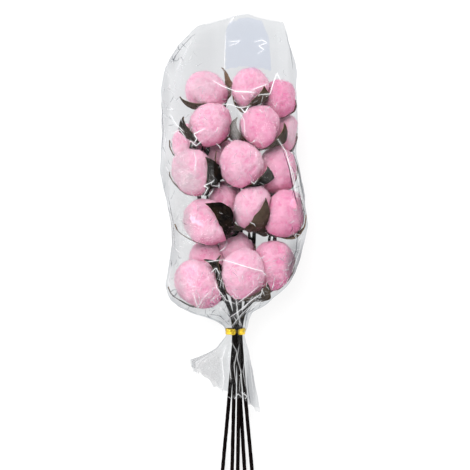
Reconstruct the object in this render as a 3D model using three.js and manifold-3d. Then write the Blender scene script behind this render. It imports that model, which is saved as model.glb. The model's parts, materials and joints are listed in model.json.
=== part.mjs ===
// A bunch of dyed cotton stems in a clear film sleeve, lying on a surface.
// Millimetres, +Z up. +Y runs from the cut stem ends to the heads. The origin is on the sleeve's flat
// underside, where the bunch rests, below the middle of the heads.
import * as THREE from "three";
import { mergeVertices } from "three/addons/utils/BufferGeometryUtils.js";
import Module from "manifold-3d";

const wasm = await Module();
wasm.setup();

// Stems
const stemRadius = 2.35;
const branchRadius = 1.6;
const stemSides = 6;
const stemSteps = 30;
const branchSides = 6;
const branchSteps = 5;
const branchLeaving = 0.38;
const branchArriving = 0.3;
const stemTopLength = 6;
const stemClearance = 0.45;

// Burrs: the cup that a boll sits in, and its pointed valves
const cupRadius = 5.2;
const cupFootRadius = 2.9;
const cupHeight = 4;
const cupSides = 8;
const valveThickness = 1.1;
const valveGap = 1.25;
const valveRootPolar = THREE.MathUtils.degToRad(173);
const valveRings = 5;
const valveSpread = 0.45;
const valveWidestAt = 0.42;
const valveRootWidth = 0.5;
const valveTaper = 0.95;
const valveLeanStart = 0.3;
const valveLeanPower = 1.4;
const valveTwistStart = 0.1;
const valveTwistEnd = 0.6;
const valveHookStart = 0.65;
const leastTurnRadius = 2.5;
const rootSink = 1.3;

// Cotton heads
const headStretch = 1.15;
const headWaist = 0.04;
const lobeDepth = 0.11;
const lobeSpread = 0.05;
const groovePower = 0.8;
const tipDimple = 0.05;
const pointsPerLobe = 4;
const headRings = 8;
const coverPlay = 0.1;
const cellGap = 0.25;
const softness = 11;
const joinGap = 0.3;

// Sleeve and tie
const filmThickness = 0.7;
const filmClearance = 2.3;
const filmSides = 22;
const filmStep = 20.5;
const filmSag = 9;
const filmCurve = 90;
const filmRest = 2.2;
const sagStart = 0.05;
const sagFull = 0.45;
const upperExponent = 2.4;
const lowerExponent = 2.8;
const sectionWaist = 0.43;
const undersideDrop = 6;
const restingBelow = 2;
const sealWall = 0.9;
const sealDepth = 2;
const sealBow = 8;
const skirtLength = 70;
const skirtSlant = 0.62;
const pleatCount = 5;
const pleatDepth = 0.1;
const neckHalfLength = 4.5;
const neckY = -158;
const neckCentre = new THREE.Vector3(3.8, neckY, 27);
const neckBore = 7.1;
const neckRing = 4.25;
const neckRun = 9;
const ribbonThickness = 0.9;
const ribbonWidth = 7.4;
const ribbonSeam = 0.5;
const twistStart = new THREE.Vector3(7, neckY, 17.2);
const twistSunk = 0.8;
const twistLength = 13;
const twistTurns = 2;
const twistSteps = 14;
const twistHalfThickness = 0.55;
const twistHalfWidth = 1.7;
const twistEndHalfWidth = 2.3;
const twistDirection = new THREE.Vector3(0.5, 0.05, -0.86).normalize();

const colours = {
  cotton: 0xf2a3c7,
  burr: 0x4a3428,
  stem: 0x1c1413,
  film: 0xe6eaee,
  ribbon: 0xd8b01c,
};

const degrees = THREE.MathUtils.degToRad;
const { clamp, smoothstep, lerp } = THREE.MathUtils;

// The same number from 0 to 1 for the same pair of seeds.
function draw(seed, salt) {
  const wave = Math.sin(seed * 12.9898 + salt * 78.233) * 43758.5453;
  return wave - Math.floor(wave);
}

// A valve of a burr: its turn about the boll's axis from the upper side, the polar angle its tip reaches,
// how far the tip stands off the cotton, its width, the twist that lifts one edge of it, in degrees, and
// how far the end of its tip hooks out.
const valve = (turn, polar = 68, curl = 4, width = 16, twist = 0, hook = 0) => ({
  turn,
  polar,
  curl,
  width,
  twist,
  hook,
});

// The bolls, from the top of the bunch down: centre, heading of the axis from +Y towards +X, rise of the
// axis above the surface, radius across, valves, and the Y at which its branch leaves the stem. A boll
// with no branch sits on the end of its stem.
const bolls = [
  {
    at: [-30.5, 117.3, 58], heading: -48, rise: 12, radius: 21,
    valves: [valve(-112, 54, 5, 17, 12, 4), valve(98, 82, 7, 15, -40, 6), valve(160), valve(-160)],
  },
  {
    at: [19, 119.6, 62], heading: -2, rise: 25, radius: 20.5,
    valves: [valve(60, 64, 2, 20, -20, 4), valve(140), valve(-150), valve(-72, 84, 2, 14, 15)],
  },
  {
    at: [51.2, 108.7, 50], heading: 14, rise: 0, radius: 19,
    valves: [valve(120, 75, 2), valve(-170), valve(-110, 75, 2)],
  },
  {
    at: [-26.8, 78.8, 68.5], heading: 20, rise: 24, radius: 22, branch: 26,
    valves: [valve(-74, 86, 3, 20, -25, 9), valve(95, 92, 2), valve(170), valve(-135)],
  },
  {
    at: [29.1, 75.3, 70], heading: 2, rise: 28, radius: 22, branch: 22,
    valves: [valve(-60, 54, 4, 19, -35, 3), valve(72, 66, 3, 16, 20, 8), valve(150), valve(-145)],
  },
  {
    at: [56.3, 70.1, 34], heading: 10, rise: 0, radius: 19.8,
    valves: [valve(95, 75, 2), valve(175), valve(-120, 80, 2)],
  },
  {
    at: [-48.9, 57.5, 28], heading: -15, rise: -15, radius: 21,
    valves: [valve(-90, 70, 3), valve(-170), valve(110, 80, 3), valve(0, 100, 2)],
  },
  {
    at: [-19, 44.3, 34], heading: -5, rise: -5, radius: 20.5, branch: -12,
    valves: [valve(-90, 80, 2), valve(90, 80, 2), valve(180)],
  },
  {
    at: [9.2, 33.9, 71], heading: -8, rise: 28, radius: 24.3, branch: -22,
    valves: [valve(-88, 52, 4, 14, 0, 2), valve(46, 82, 5, 24, 15, 3), valve(150), valve(-150)],
  },
  {
    at: [47.7, 27.6, 48], heading: 8, rise: 5, radius: 24, branch: -26,
    valves: [valve(110, 70, 2), valve(180), valve(-120, 75, 2)],
  },
  {
    at: [-44.8, 24.7, 66], heading: -30, rise: 22, radius: 23.8, branch: -22,
    valves: [valve(58, 60, 5, 22, 15, 2), valve(-100, 66, 3, 14), valve(160), valve(-160)],
  },
  {
    at: [-11.5, -8.6, 44], heading: -10, rise: 10, radius: 21.5, branch: -60,
    valves: [valve(100, 85, 2), valve(180), valve(-100, 85, 2)],
  },
  {
    at: [21.3, -14.4, 62], heading: 8, rise: 12, radius: 22.5, branch: -60,
    valves: [valve(36, 54, 3, 26), valve(-36, 98, 1, 24), valve(120), valve(-130)],
  },
  {
    at: [57.5, -21.8, 60], heading: 33, rise: 18, radius: 24, branch: -70,
    valves: [valve(96, 60, 1, 17, 0, 3), valve(175), valve(-115, 80, 3)],
  },
  {
    at: [-29.3, -31, 66], heading: -58, rise: 20, radius: 25, branch: -38,
    valves: [valve(48, 58, 5, 31, 20, 2), valve(-100, 40, 2, 15, 0, 5), valve(140), valve(-160)],
  },
  {
    at: [2.3, -63.2, 38], heading: -5, rise: 10, radius: 21.5, branch: -122,
    valves: [valve(100, 80, 2), valve(180), valve(-100, 85, 2)],
  },
  {
    at: [-28.7, -77, 36], heading: -16, rise: 22, radius: 22, branch: -128,
    valves: [valve(118, 78, 2, 15), valve(-166, 72, 3), valve(-88, 82, 3, 15)],
  },
  {
    at: [44, -80.5, 50], heading: 8, rise: 5, radius: 25, branch: -127,
    valves: [valve(120, 70, 3), valve(180), valve(-120, 75, 3)],
  },
  {
    at: [10.3, -90.3, 67], heading: 14, rise: 22, radius: 25.5, branch: -143,
    valves: [valve(-74, 58, 4, 17, -20, 3), valve(64, 78, 4, 20, 20, 2), valve(150), valve(-150)],
  },
  {
    at: [-38.5, -101.8, 60], heading: -55, rise: 20, radius: 26, branch: -141,
    valves: [valve(50, 58, 5, 24, 15, 3), valve(-98, 44, 3, 17, 0, 6), valve(150), valve(-160)],
  },
];

// The stems, from the left: the cut end, the place round the ring of stems in the neck, points above the
// neck, and the bolls each carries. The last of its bolls sits on the end.
const stems = [
  {
    cut: [-15.4, -345, 2.65],
    turn: 198,
    above: [
      [-5, -132, 24], [-14, -108, 16], [-24, -84, 12], [-30, -64, 13], [-34, -40, 22], [-38, -14, 32],
      [-42, 8, 37],
    ],
    bolls: [20, 17, 11, 7],
  },
  {
    cut: [-2.8, -345, 7.6],
    turn: 126,
    above: [
      [1, -132, 30], [-4, -108, 25], [-8, -84, 22], [-10, -60, 20], [-14, -34, 23], [-23, -10, 27],
      [-30, 14, 36], [-34, 40, 47], [-26, 62, 45], [-15, 80, 43],
    ],
    bolls: [12, 8, 4, 1],
  },
  {
    cut: [4.1, -345, 5.4],
    turn: 54,
    above: [
      [7, -132, 28], [7, -110, 21], [8, -88, 16], [8, -64, 15], [8, -40, 20], [7, -14, 27],
      [5, 12, 36], [6, 36, 44], [9, 60, 47], [14, 80, 47],
    ],
    bolls: [19, 16, 15, 9, 2],
  },
  {
    cut: [23.1, -345, 2.65],
    turn: -18,
    above: [
      [13, -132, 27], [17, -111, 22], [21, -86, 15], [23, -58, 15], [24, -34, 20], [24, -8, 25],
      [24, 18, 28], [25, 40, 34], [29, 58, 42], [36, 70, 47],
    ],
    bolls: [13, 5, 3],
  },
  {
    cut: [13.7, -345, 2.65],
    turn: -90,
    above: [
      [11, -136, 21], [26, -115, 22], [40, -92, 23], [46, -66, 26], [48, -40, 30], [48, -12, 30],
      [47, 12, 26], [48, 30, 25],
    ],
    bolls: [18, 14, 10, 6],
  },
];

// The sleeve's sections above the neck: Y, its left and right edges, its underside and its top.
const bodySections = [
  { y: -147, left: -17, right: 15.5, low: 14, high: 41 },
  { y: -141.5, left: -29, right: 17, low: 9, high: 53 },
  { y: -137, left: -46, right: 21, low: 5, high: 65 },
  { y: -128, left: -64.5, right: 36, low: 1.5, high: 80 },
  { y: -118.5, left: -74.5, right: 47, low: 0, high: 88 },
  { y: -104.5, left: -79, right: 61, low: 0, high: 93 },
  { y: -81.5, left: -74.5, right: 73, low: 0, high: 94 },
  { y: -57.5, left: -71, right: 81, low: 0, high: 92 },
  { y: -38, left: -72, right: 85, low: 0, high: 93 },
  { y: -18, left: -76, right: 83, low: 0, high: 95 },
  { y: 12, left: -81.5, right: 77.5, low: 0, high: 98 },
  { y: 46, left: -84, right: 72, low: 0, high: 99 },
  { y: 80, left: -82.5, right: 73, low: 0, high: 98 },
  { y: 115, left: -84, right: 72.5, low: 0, high: 90 },
  { y: 138, left: -82, right: 72.5, low: 0, high: 80 },
  { y: 156, left: -76, right: 70.5, low: 0, high: 64 },
  { y: 176, left: -65, right: 64.5, low: 1.5, high: 44 },
  { y: 190, left: -46, right: 60, low: 6, high: 29 },
  { y: 200, left: -36, right: 56, low: 13.5, high: 16.5 },
];
const neckSection = { y: neckY, left: -8.8, right: 11.7, low: 18.8, high: 35.2 };
const ribbonSection = { left: -9.3, right: 12.2, low: 18.3, high: 35.7 };

// The skirt below the neck, by share of its length: its left and right edges, underside and top.
const skirtSections = [
  { share: 1, left: -48, right: 25, low: 5, high: 33 },
  { share: 0.75, left: -50, right: 21.5, low: 7, high: 35 },
  { share: 0.5, left: -36, right: 18.5, low: 10, high: 36 },
  { share: 0.25, left: -19, right: 15.5, low: 15, high: 36 },
];

// The direction of a boll's axis, and two directions across it: towards the upper side and sideways.
function bollFrame({ heading, rise }) {
  const across = Math.cos(degrees(rise));
  const axis = new THREE.Vector3(
    Math.sin(degrees(heading)) * across,
    Math.cos(degrees(heading)) * across,
    Math.sin(degrees(rise)),
  );
  const upper = new THREE.Vector3(0, 0, 1).addScaledVector(axis, -axis.z).normalize();
  return { axis, upper, side: new THREE.Vector3().crossVectors(axis, upper) };
}

// The direction at a polar angle from the axis and an azimuth from the upper side.
function directionOf({ axis, upper, side }, polar, azimuth) {
  return axis
    .clone()
    .multiplyScalar(Math.cos(polar))
    .addScaledVector(upper, Math.sin(polar) * Math.cos(azimuth))
    .addScaledVector(side, Math.sin(polar) * Math.sin(azimuth));
}

// How far the cotton reaches at its base, where the cup holds it.
const baseReach = (boll) => boll.radius * headStretch * (1 - headWaist);

// The point where a boll's branch meets its cup.
function footOf(boll) {
  const reach = baseReach(boll) + joinGap + cupHeight + joinGap;
  return boll.centre.clone().addScaledVector(boll.frame.axis, -reach);
}

bolls.forEach((boll, i) => {
  boll.number = i + 1;
  boll.lobes = boll.number % 3 === 0 ? 5 : 4;
  boll.centre = new THREE.Vector3(...boll.at);
  boll.frame = bollFrame(boll);
});

// A tube of flat sides along a curve, closed at both ends.
function tube(curve, radius, sides, steps) {
  const outline = new THREE.Shape(
    Array.from({ length: sides }, (_, k) => {
      const angle = (k * 2 * Math.PI) / sides;
      return new THREE.Vector2(radius * Math.cos(angle), radius * Math.sin(angle));
    }),
  );
  return new THREE.ExtrudeGeometry(outline, { steps, extrudePath: curve });
}

function toSolid(geometry) {
  const bare = geometry.clone();
  bare.deleteAttribute("normal");
  bare.deleteAttribute("uv");
  const merged = mergeVertices(bare, 1e-4);
  return new wasm.Manifold(
    new wasm.Mesh({
      numProp: 3,
      vertProperties: new Float32Array(merged.attributes.position.array),
      triVerts: new Uint32Array(merged.index.array),
    }),
  );
}

function fromSolid(solid) {
  const { vertProperties, triVerts } = solid.getMesh();
  return new THREE.BufferGeometry()
    .setAttribute("position", new THREE.BufferAttribute(vertProperties, 3))
    .setIndex(new THREE.BufferAttribute(triVerts, 1));
}

const joined = (geometries) => fromSolid(geometries.map(toSolid).reduce((a, b) => a.add(b)));

// A closed surface through rings of points, with a point at each end. The faces are turned outwards.
function skin(rings, start, end) {
  const sides = rings[0].length;
  const points = [start, ...rings.flat(), end];
  const index = [];
  const at = (ring, k) => 1 + ring * sides + (k % sides);
  for (let k = 0; k < sides; k++) {
    index.push(0, at(0, k + 1), at(0, k));
    index.push(points.length - 1, at(rings.length - 1, k), at(rings.length - 1, k + 1));
    for (let ring = 0; ring < rings.length - 1; ring++) {
      index.push(at(ring, k), at(ring, k + 1), at(ring + 1, k));
      index.push(at(ring + 1, k), at(ring, k + 1), at(ring + 1, k + 1));
    }
  }
  return facingOut(points, index);
}

function facingOut(points, index) {
  let volume = 0;
  for (let i = 0; i < index.length; i += 3) {
    const [a, b, c] = [points[index[i]], points[index[i + 1]], points[index[i + 2]]];
    volume += a.dot(new THREE.Vector3().crossVectors(b, c));
  }
  if (volume < 0) index.reverse();
  return new THREE.BufferGeometry().setFromPoints(points).setIndex(index);
}

const middleOf = (points) =>
  points.reduce((sum, p) => sum.add(p), new THREE.Vector3()).divideScalar(points.length);

// Stems

function stemCurve(stem) {
  const top = bolls[stem.bolls.at(-1) - 1];
  const foot = footOf(top);
  const inNeck = new THREE.Vector3(Math.cos(degrees(stem.turn)), 0, Math.sin(degrees(stem.turn)));
  const points = [
    new THREE.Vector3(...stem.cut),
    ...[-neckRun, neckRun].map((run) =>
      neckCentre.clone().addScaledVector(inNeck, neckRing).add(new THREE.Vector3(0, run, 0)),
    ),
    ...stem.above.map((p) => new THREE.Vector3(...p)),
  ];
  points.push(foot.clone().addScaledVector(top.frame.axis, -stemTopLength), foot);
  return new THREE.CatmullRomCurve3(points, false, "centripetal");
}

// The place on a stem's curve at a given Y, which only grows along it.
function shareAtY(curve, y) {
  let [low, high] = [0, 1];
  for (let i = 0; i < 30; i++) {
    const middle = (low + high) / 2;
    if (curve.getPointAt(middle).y < y) low = middle;
    else high = middle;
  }
  return low;
}

function branchCurve(curve, boll) {
  const share = shareAtY(curve, boll.branch);
  const start = curve.getPointAt(share);
  const end = footOf(boll);
  const length = start.distanceTo(end);
  return new THREE.CubicBezierCurve3(
    start,
    start.clone().addScaledVector(curve.getTangentAt(share), length * branchLeaving),
    end.clone().addScaledVector(boll.frame.axis, -length * branchArriving),
    end,
  );
}

// Every straight stretch of stem and branch, with its radius and the boll that it ends at.
function stretches(curve, steps, radius, boll) {
  const points = curve.getSpacedPoints(steps);
  return points.slice(1).map((end, i) => ({
    line: new THREE.Line3(points[i], end),
    radius,
    boll: boll && i >= steps - 2 ? boll : null,
  }));
}

const wood = [];
for (const stem of stems) {
  stem.curve = stemCurve(stem);
  const carried = stem.bolls.map((number) => bolls[number - 1]);
  stem.branches = carried
    .filter((boll) => boll.branch !== undefined)
    .map((boll) => ({ boll, curve: branchCurve(stem.curve, boll) }));
  wood.push(...stretches(stem.curve, stemSteps, stemRadius, carried.at(-1)));
  for (const { boll, curve } of stem.branches) {
    wood.push(
      ...stretches(curve, branchSteps, branchRadius, boll).map((s) => ({ ...s, boll })),
    );
  }
}

function stemGeometry(stem) {
  const rods = [tube(stem.curve, stemRadius, stemSides, stemSteps)];
  for (const { curve } of stem.branches) {
    rods.push(tube(curve, branchRadius, branchSides, branchSteps));
  }
  return joined(rods);
}

// Each boll keeps to its own cell, bounded by planes between it and its neighbours, the stems and the
// surface, as soft heads do that are pressed together.
function cellOf(boll) {
  const planes = [];
  const addPlane = (towards, distance) => planes.push({ normal: towards.normalize(), distance });
  for (const other of bolls) {
    if (other === boll) continue;
    const towards = other.centre.clone().sub(boll.centre);
    const apart = towards.length();
    const share = apart / 2 + (boll.radius ** 2 - other.radius ** 2) / (2 * apart);
    addPlane(towards, share - cellGap);
  }
  for (const { line, radius, boll: own } of wood) {
    if (own === boll) continue;
    const towards = line.closestPointToPoint(boll.centre, true, new THREE.Vector3()).sub(boll.centre);
    const apart = towards.length();
    addPlane(towards, apart - radius - stemClearance);
  }
  addPlane(new THREE.Vector3(0, 0, -1), boll.centre.z - filmClearance);
  return planes;
}

for (const boll of bolls) boll.cell = cellOf(boll);

// How far the cell's planes let a boll reach in a direction.
const limitsIn = (boll, direction) =>
  boll.cell
    .map(({ normal, distance }) => ({ slope: direction.dot(normal), distance }))
    .filter(({ slope }) => slope > 1e-6)
    .map(({ slope, distance }) => distance / slope);

// The least of several lengths, rounded off where two are alike.
const softLeast = (lengths) =>
  lengths.reduce((sum, length) => sum + length ** -softness, 0) ** (-1 / softness);

// How far the sleeve lets a boll reach in a direction.
function roomInFilm(boll, direction) {
  const inside = (r) => insideFilm(boll.centre.clone().addScaledVector(direction, r));
  let [low, high] = [0, boll.radius * 3];
  for (let i = 0; i < 20; i++) {
    const middle = (low + high) / 2;
    if (inside(middle)) low = middle;
    else high = middle;
  }
  return low;
}

// How much a valve may cover the cotton at a polar angle and azimuth, from 0 to 1.
function coverOf(boll, polar, azimuth) {
  const covers = boll.valves.map((leaf) => {
    const apart = Math.acos(Math.cos(azimuth - degrees(leaf.turn)));
    const near = 1 - smoothstep(apart, degrees(45), degrees(65));
    return near * smoothstep(polar, degrees(leaf.polar - 34), degrees(leaf.polar - 12));
  });
  return Math.max(...covers, smoothstep(polar, degrees(130), degrees(150)));
}

// How far the cotton reaches: an egg with a lobe over each valve, dimpled at the tip, kept to its room.
function cottonReach(boll, polar, azimuth) {
  const { radius, lobes } = boll;
  const turn = boll.valves[0].turn;
  const egg = 1 / Math.hypot(Math.sin(polar) / radius, Math.cos(polar) / (radius * headStretch));
  const waist = 1 - headWaist * smoothstep(polar, degrees(110), degrees(170));
  const phase = ((azimuth - degrees(turn)) * lobes) / 2;
  const groove = 1 - Math.abs(Math.cos(phase)) ** groovePower;
  const lobe = Math.round((azimuth - degrees(turn)) / ((2 * Math.PI) / lobes));
  const swell = 1 + lobeSpread * (draw(boll.number, ((lobe % lobes) + lobes) % lobes) - 0.5);
  const band = Math.sin(polar) ** 0.7;
  const dimple = 1 - tipDimple * (1 - smoothstep(polar, 0, degrees(30)));
  const shaped = egg * waist * dimple * lerp(1, swell * (1 - lobeDepth * groove), band);
  const inset = coverOf(boll, polar, azimuth) * (valveThickness + valveGap + coverPlay);
  const direction = directionOf(boll.frame, polar, azimuth);
  const limits = [...limitsIn(boll, direction), roomInFilm(boll, direction)];
  return softLeast([shaped + inset, ...limits]) - inset;
}

function cottonGeometry(boll) {
  const sides = boll.lobes * pointsPerLobe;
  const point = (polar, azimuth) =>
    boll.centre
      .clone()
      .addScaledVector(directionOf(boll.frame, polar, azimuth), cottonReach(boll, polar, azimuth));
  const rings = Array.from({ length: headRings }, (_, ring) =>
    Array.from({ length: sides }, (_, k) =>
      point(
        ((ring + 1) * Math.PI) / (headRings + 1),
        degrees(boll.valves[0].turn) + (k * 2 * Math.PI) / sides,
      ),
    ),
  );
  return skin(rings, point(0, 0), point(Math.PI, 0));
}

// Half the width of a valve from root to tip, as a share of its widest: egg-shaped with a drawn-out tip.
function valveWidth(share) {
  if (share < valveWidestAt) {
    return lerp(valveRootWidth, 1, Math.sin(((share / valveWidestAt) * Math.PI) / 2));
  }
  const past = (share - valveWidestAt) / (1 - valveWidestAt);
  return Math.cos((past * Math.PI) / 2) ** valveTaper;
}

// How far round a valve may spread before it meets the next one, on its left or right.
function spreadLimit(boll, leaf, across) {
  const gaps = boll.valves
    .filter((other) => other !== leaf)
    .map((other) => (((other.turn - leaf.turn) * Math.sign(across)) % 360 + 360) % 360);
  return degrees(Math.min(...gaps)) * valveSpread;
}

function valveGeometry(boll, leaf) {
  const middle = degrees(leaf.turn);
  const point = (share, across, depth) => {
    const polar = lerp(valveRootPolar, degrees(leaf.polar), share);
    const cotton = cottonReach(boll, polar, middle);
    const halfWidth = (leaf.width / 2) * valveWidth(share);
    const twist = degrees(leaf.twist) * smoothstep(share, valveTwistStart, valveTwistEnd);
    const lifted = halfWidth * (Math.abs(Math.sin(twist)) + across * Math.sin(twist));
    const spread =
      (halfWidth * Math.cos(twist)) / Math.max(cotton * Math.sin(polar), leastTurnRadius);
    const azimuth = middle + across * Math.min(spread, spreadLimit(boll, leaf, across));
    const direction = directionOf(boll.frame, polar, azimuth);
    const along = (reach) => boll.centre.clone().addScaledVector(direction, reach);
    if (share === 0) return along(baseReach(boll) + joinGap + rootSink + depth);
    const lean = leaf.curl * smoothstep(share, valveLeanStart, 1) ** valveLeanPower;
    const hook = leaf.hook * smoothstep(share, valveHookStart, 1);
    const covered = Math.max(cotton, cottonReach(boll, polar, azimuth));
    const reach = covered + valveGap + lean + hook + lifted + depth;
    const room = Math.min(...limitsIn(boll, direction), roomInFilm(boll, direction));
    return along(Math.min(reach, room - valveThickness + depth));
  };
  const rings = Array.from({ length: valveRings }, (_, ring) => {
    const share = ring / valveRings;
    return [
      point(share, -1, valveThickness / 2),
      point(share, 0, 0),
      point(share, 1, valveThickness / 2),
      point(share, 0, valveThickness),
    ];
  });
  return skin(rings, middleOf(rings[0]), point(1, 0, valveThickness / 2));
}

function cupGeometry(boll) {
  const profile = [
    [0, 0],
    [cupFootRadius, 0],
    [cupRadius * 0.85, cupHeight * 0.4],
    [cupRadius, cupHeight],
    [0, cupHeight],
  ].map(([x, y]) => new THREE.Vector2(x, y));
  const cup = new THREE.LatheGeometry(profile, cupSides);
  const foot = footOf(boll).addScaledVector(boll.frame.axis, joinGap);
  cup.applyQuaternion(
    new THREE.Quaternion().setFromUnitVectors(new THREE.Vector3(0, 1, 0), boll.frame.axis),
  );
  return cup.translate(foot.x, foot.y, foot.z);
}

function burrGeometry(boll) {
  return joined([cupGeometry(boll), ...boll.valves.map((leaf) => valveGeometry(boll, leaf))]);
}

// Sleeve

// A point of a section at an angle, taken in from the outer face by a depth.
function sectionPoint(section, angle, depth) {
  const centreX = (section.left + section.right) / 2;
  const waistZ = lerp(section.low, section.high, sectionWaist);
  const halfWidth = (section.right - section.left) / 2 - depth;
  const drop = section.low < restingBelow ? undersideDrop : 0;
  const exponent = Math.sin(angle) < 0 ? lowerExponent : upperExponent;
  const halfHeight =
    Math.sin(angle) < 0 ? waistZ - section.low + drop - depth : section.high - waistZ - depth;
  const power = (value) => Math.sign(value) * Math.abs(value) ** (2 / exponent);
  return {
    x: centreX + halfWidth * power(Math.cos(angle)),
    z: Math.max(section.low + depth, waistZ + halfHeight * power(Math.sin(angle))),
  };
}

function sectionAt(y) {
  const next = bodySections.findIndex((section) => section.y > y);
  if (next <= 0) return null;
  const [a, b] = [bodySections[next - 1], bodySections[next]];
  const share = (y - a.y) / (b.y - a.y);
  const mix = (key) => lerp(a[key], b[key], share);
  return { y, left: mix("left"), right: mix("right"), low: mix("low"), high: mix("high") };
}

// True where a point is clear of the film's inner face.
function insideFilm(point) {
  const section = sectionAt(point.y);
  if (!section) return false;
  const waistZ = lerp(section.low, section.high, sectionWaist);
  const halfWidth = (section.right - section.left) / 2 - filmClearance;
  const upper = point.z > waistZ;
  const exponent = upper ? upperExponent : lowerExponent;
  const halfHeight =
    (upper ? section.high - waistZ : waistZ - section.low + undersideDrop) - filmClearance;
  const across = Math.abs(point.x - (section.left + section.right) / 2) / halfWidth;
  const along = Math.abs(point.z - waistZ) / halfHeight;
  return (
    across ** exponent + along ** exponent <= 1 && point.z >= section.low + filmClearance
  );
}

const filmAngles = Array.from({ length: filmSides }, (_, k) => ((k + 0.5) * 2 * Math.PI) / filmSides);

// The body's sections, with more between them, so that the film can follow what it lies on.
const bodyRings = bodySections.flatMap((section, i) => {
  const after = bodySections[i + 1];
  if (!after) return [section];
  const steps = Math.ceil((after.y - section.y) / filmStep);
  return Array.from({ length: steps }, (_, k) => sectionAt(lerp(section.y, after.y, k / steps)));
});

// How high the film's outer face hangs over a place. It lies on the heads, valves and stems, and falls
// away from each of their points in a curve.
function hangingHeight(contents, x, y) {
  const heights = contents.map((p) => p.z - ((p.x - x) ** 2 + (p.y - y) ** 2) / (2 * filmCurve));
  return heights.reduce((a, b) => Math.max(a, b)) + filmRest;
}

// A point's height on a section, let down to what the film lies on, by no more than its sag.
function sagged(contents, x, y, z, angle, depth) {
  const hung = clamp(hangingHeight(contents, x, y) - depth, z - filmSag, z);
  return lerp(z, hung, smoothstep(Math.sin(angle), sagStart, sagFull));
}

// Rings of the sleeve's outer face from the skirt's mouth to the sealed end, or of its inner face, which
// is a film's thickness inside it.
function sleeveRings(contents, inner) {
  const depth = inner ? filmThickness : 0;
  const rings = [];
  for (const { share, ...section } of skirtSections) {
    rings.push(
      filmAngles.map((angle) => {
        const pleat = 1 + pleatDepth * share * Math.cos(pleatCount * angle);
        const { x, z } = sectionPoint(section, angle, depth);
        const midX = (section.left + section.right) / 2;
        const midZ = (section.low + section.high) / 2;
        const y = neckY - neckHalfLength - share * (skirtLength + skirtSlant * x);
        return new THREE.Vector3(midX + (x - midX) * pleat, y, midZ + (z - midZ) * pleat);
      }),
    );
  }
  for (const end of [-1, 1]) {
    rings.push(
      filmAngles.map((angle) => {
        const y = neckY + end * neckHalfLength;
        if (!inner) {
          const { x, z } = sectionPoint(neckSection, angle, 0);
          return new THREE.Vector3(x, y, z);
        }
        return new THREE.Vector3(
          neckCentre.x + neckBore * Math.cos(angle),
          y,
          neckCentre.z + neckBore * Math.sin(angle),
        );
      }),
    );
  }
  bodyRings.forEach((section, i) => {
    const before = bodyRings[i - 1] ?? neckSection;
    const grows = (section.right - section.left - before.right + before.left) / 2;
    const steep = grows / Math.hypot(grows, section.y - before.y);
    const last = i === bodyRings.length - 1;
    const taken = last && inner ? sealWall : depth;
    rings.push(
      filmAngles.map((angle) => {
        const { x, z } = sectionPoint(section, angle, taken);
        const edge = (2 * x - section.left - section.right) / (section.right - section.left);
        const bow = last ? sealBow * (1 - edge * edge) - (inner ? sealDepth : 0) : 0;
        const y = section.y + bow + depth * steep;
        return new THREE.Vector3(x, y, last ? z : sagged(contents, x, y, z, angle, depth));
      }),
    );
  });
  return rings;
}

function sleeveGeometry(contents) {
  const outer = sleeveRings(contents, false);
  const inner = sleeveRings(contents, true);
  const faces = [...inner.toReversed(), ...outer];
  return skin(faces, middleOf(faces[0]), middleOf(faces.at(-1)));
}

// Tie: a ribbon wound twice round the neck, its ends twisted together underneath.

function bandGeometry() {
  const half = ribbonWidth / 2;
  const profile = [
    [0, -half],
    [ribbonThickness, -half],
    [ribbonThickness, -ribbonSeam],
    [ribbonThickness / 2, 0],
    [ribbonThickness, ribbonSeam],
    [ribbonThickness, half],
    [0, half],
  ];
  const points = [];
  const index = [];
  for (const angle of filmAngles) {
    for (const [out, along] of profile) {
      const { x, z } = sectionPoint(ribbonSection, angle, -out);
      points.push(new THREE.Vector3(x, neckY + along, z));
    }
  }
  const at = (k, j) => (k % filmSides) * profile.length + (j % profile.length);
  for (let k = 0; k < filmSides; k++) {
    for (let j = 0; j < profile.length; j++) {
      index.push(at(k, j), at(k + 1, j), at(k, j + 1));
      index.push(at(k, j + 1), at(k + 1, j), at(k + 1, j + 1));
    }
  }
  return facingOut(points, index);
}

function twistGeometry() {
  const across = new THREE.Vector3(0, 1, 0);
  const out = new THREE.Vector3().crossVectors(twistDirection, across).normalize();
  const thick = twistHalfThickness;
  const rings = Array.from({ length: twistSteps + 1 }, (_, ring) => {
    const share = ring / twistSteps;
    const turn = share * twistTurns * Math.PI;
    const wide = lerp(twistHalfWidth, twistEndHalfWidth, smoothstep(share, 0.7, 1));
    return [
      [wide, thick],
      [-wide, thick],
      [-wide, -thick],
      [wide, -thick],
    ].map(([a, b]) =>
      twistStart
        .clone()
        .addScaledVector(twistDirection, share * twistLength - twistSunk)
        .addScaledVector(across, a * Math.cos(turn) - b * Math.sin(turn))
        .addScaledVector(out, a * Math.sin(turn) + b * Math.cos(turn)),
    );
  });
  return skin(rings, middleOf(rings[0]), middleOf(rings.at(-1)));
}

const tieGeometry = () => joined([bandGeometry(), twistGeometry()]);

// The object

function material(color, roughness, metalness = 0, opacity = 1) {
  return new THREE.MeshStandardMaterial({
    color,
    roughness,
    metalness,
    opacity,
    transparent: opacity < 1,
  });
}

const materials = {
  cotton: material(colours.cotton, 0.95),
  burr: material(colours.burr, 0.7),
  stem: material(colours.stem, 0.55),
  film: material(colours.film, 0.1, 0, 0.25),
  ribbon: material(colours.ribbon, 0.3, 0.9),
};

const bunch = new THREE.Group();

function place(name, geometry, look) {
  const mesh = new THREE.Mesh(geometry, look);
  mesh.name = name;
  bunch.add(mesh);
}

function pointsOf(group) {
  return group.children.flatMap(({ geometry }) => {
    const { position } = geometry.attributes;
    return Array.from({ length: position.count }, (_, i) =>
      new THREE.Vector3().fromBufferAttribute(position, i),
    );
  });
}

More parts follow.
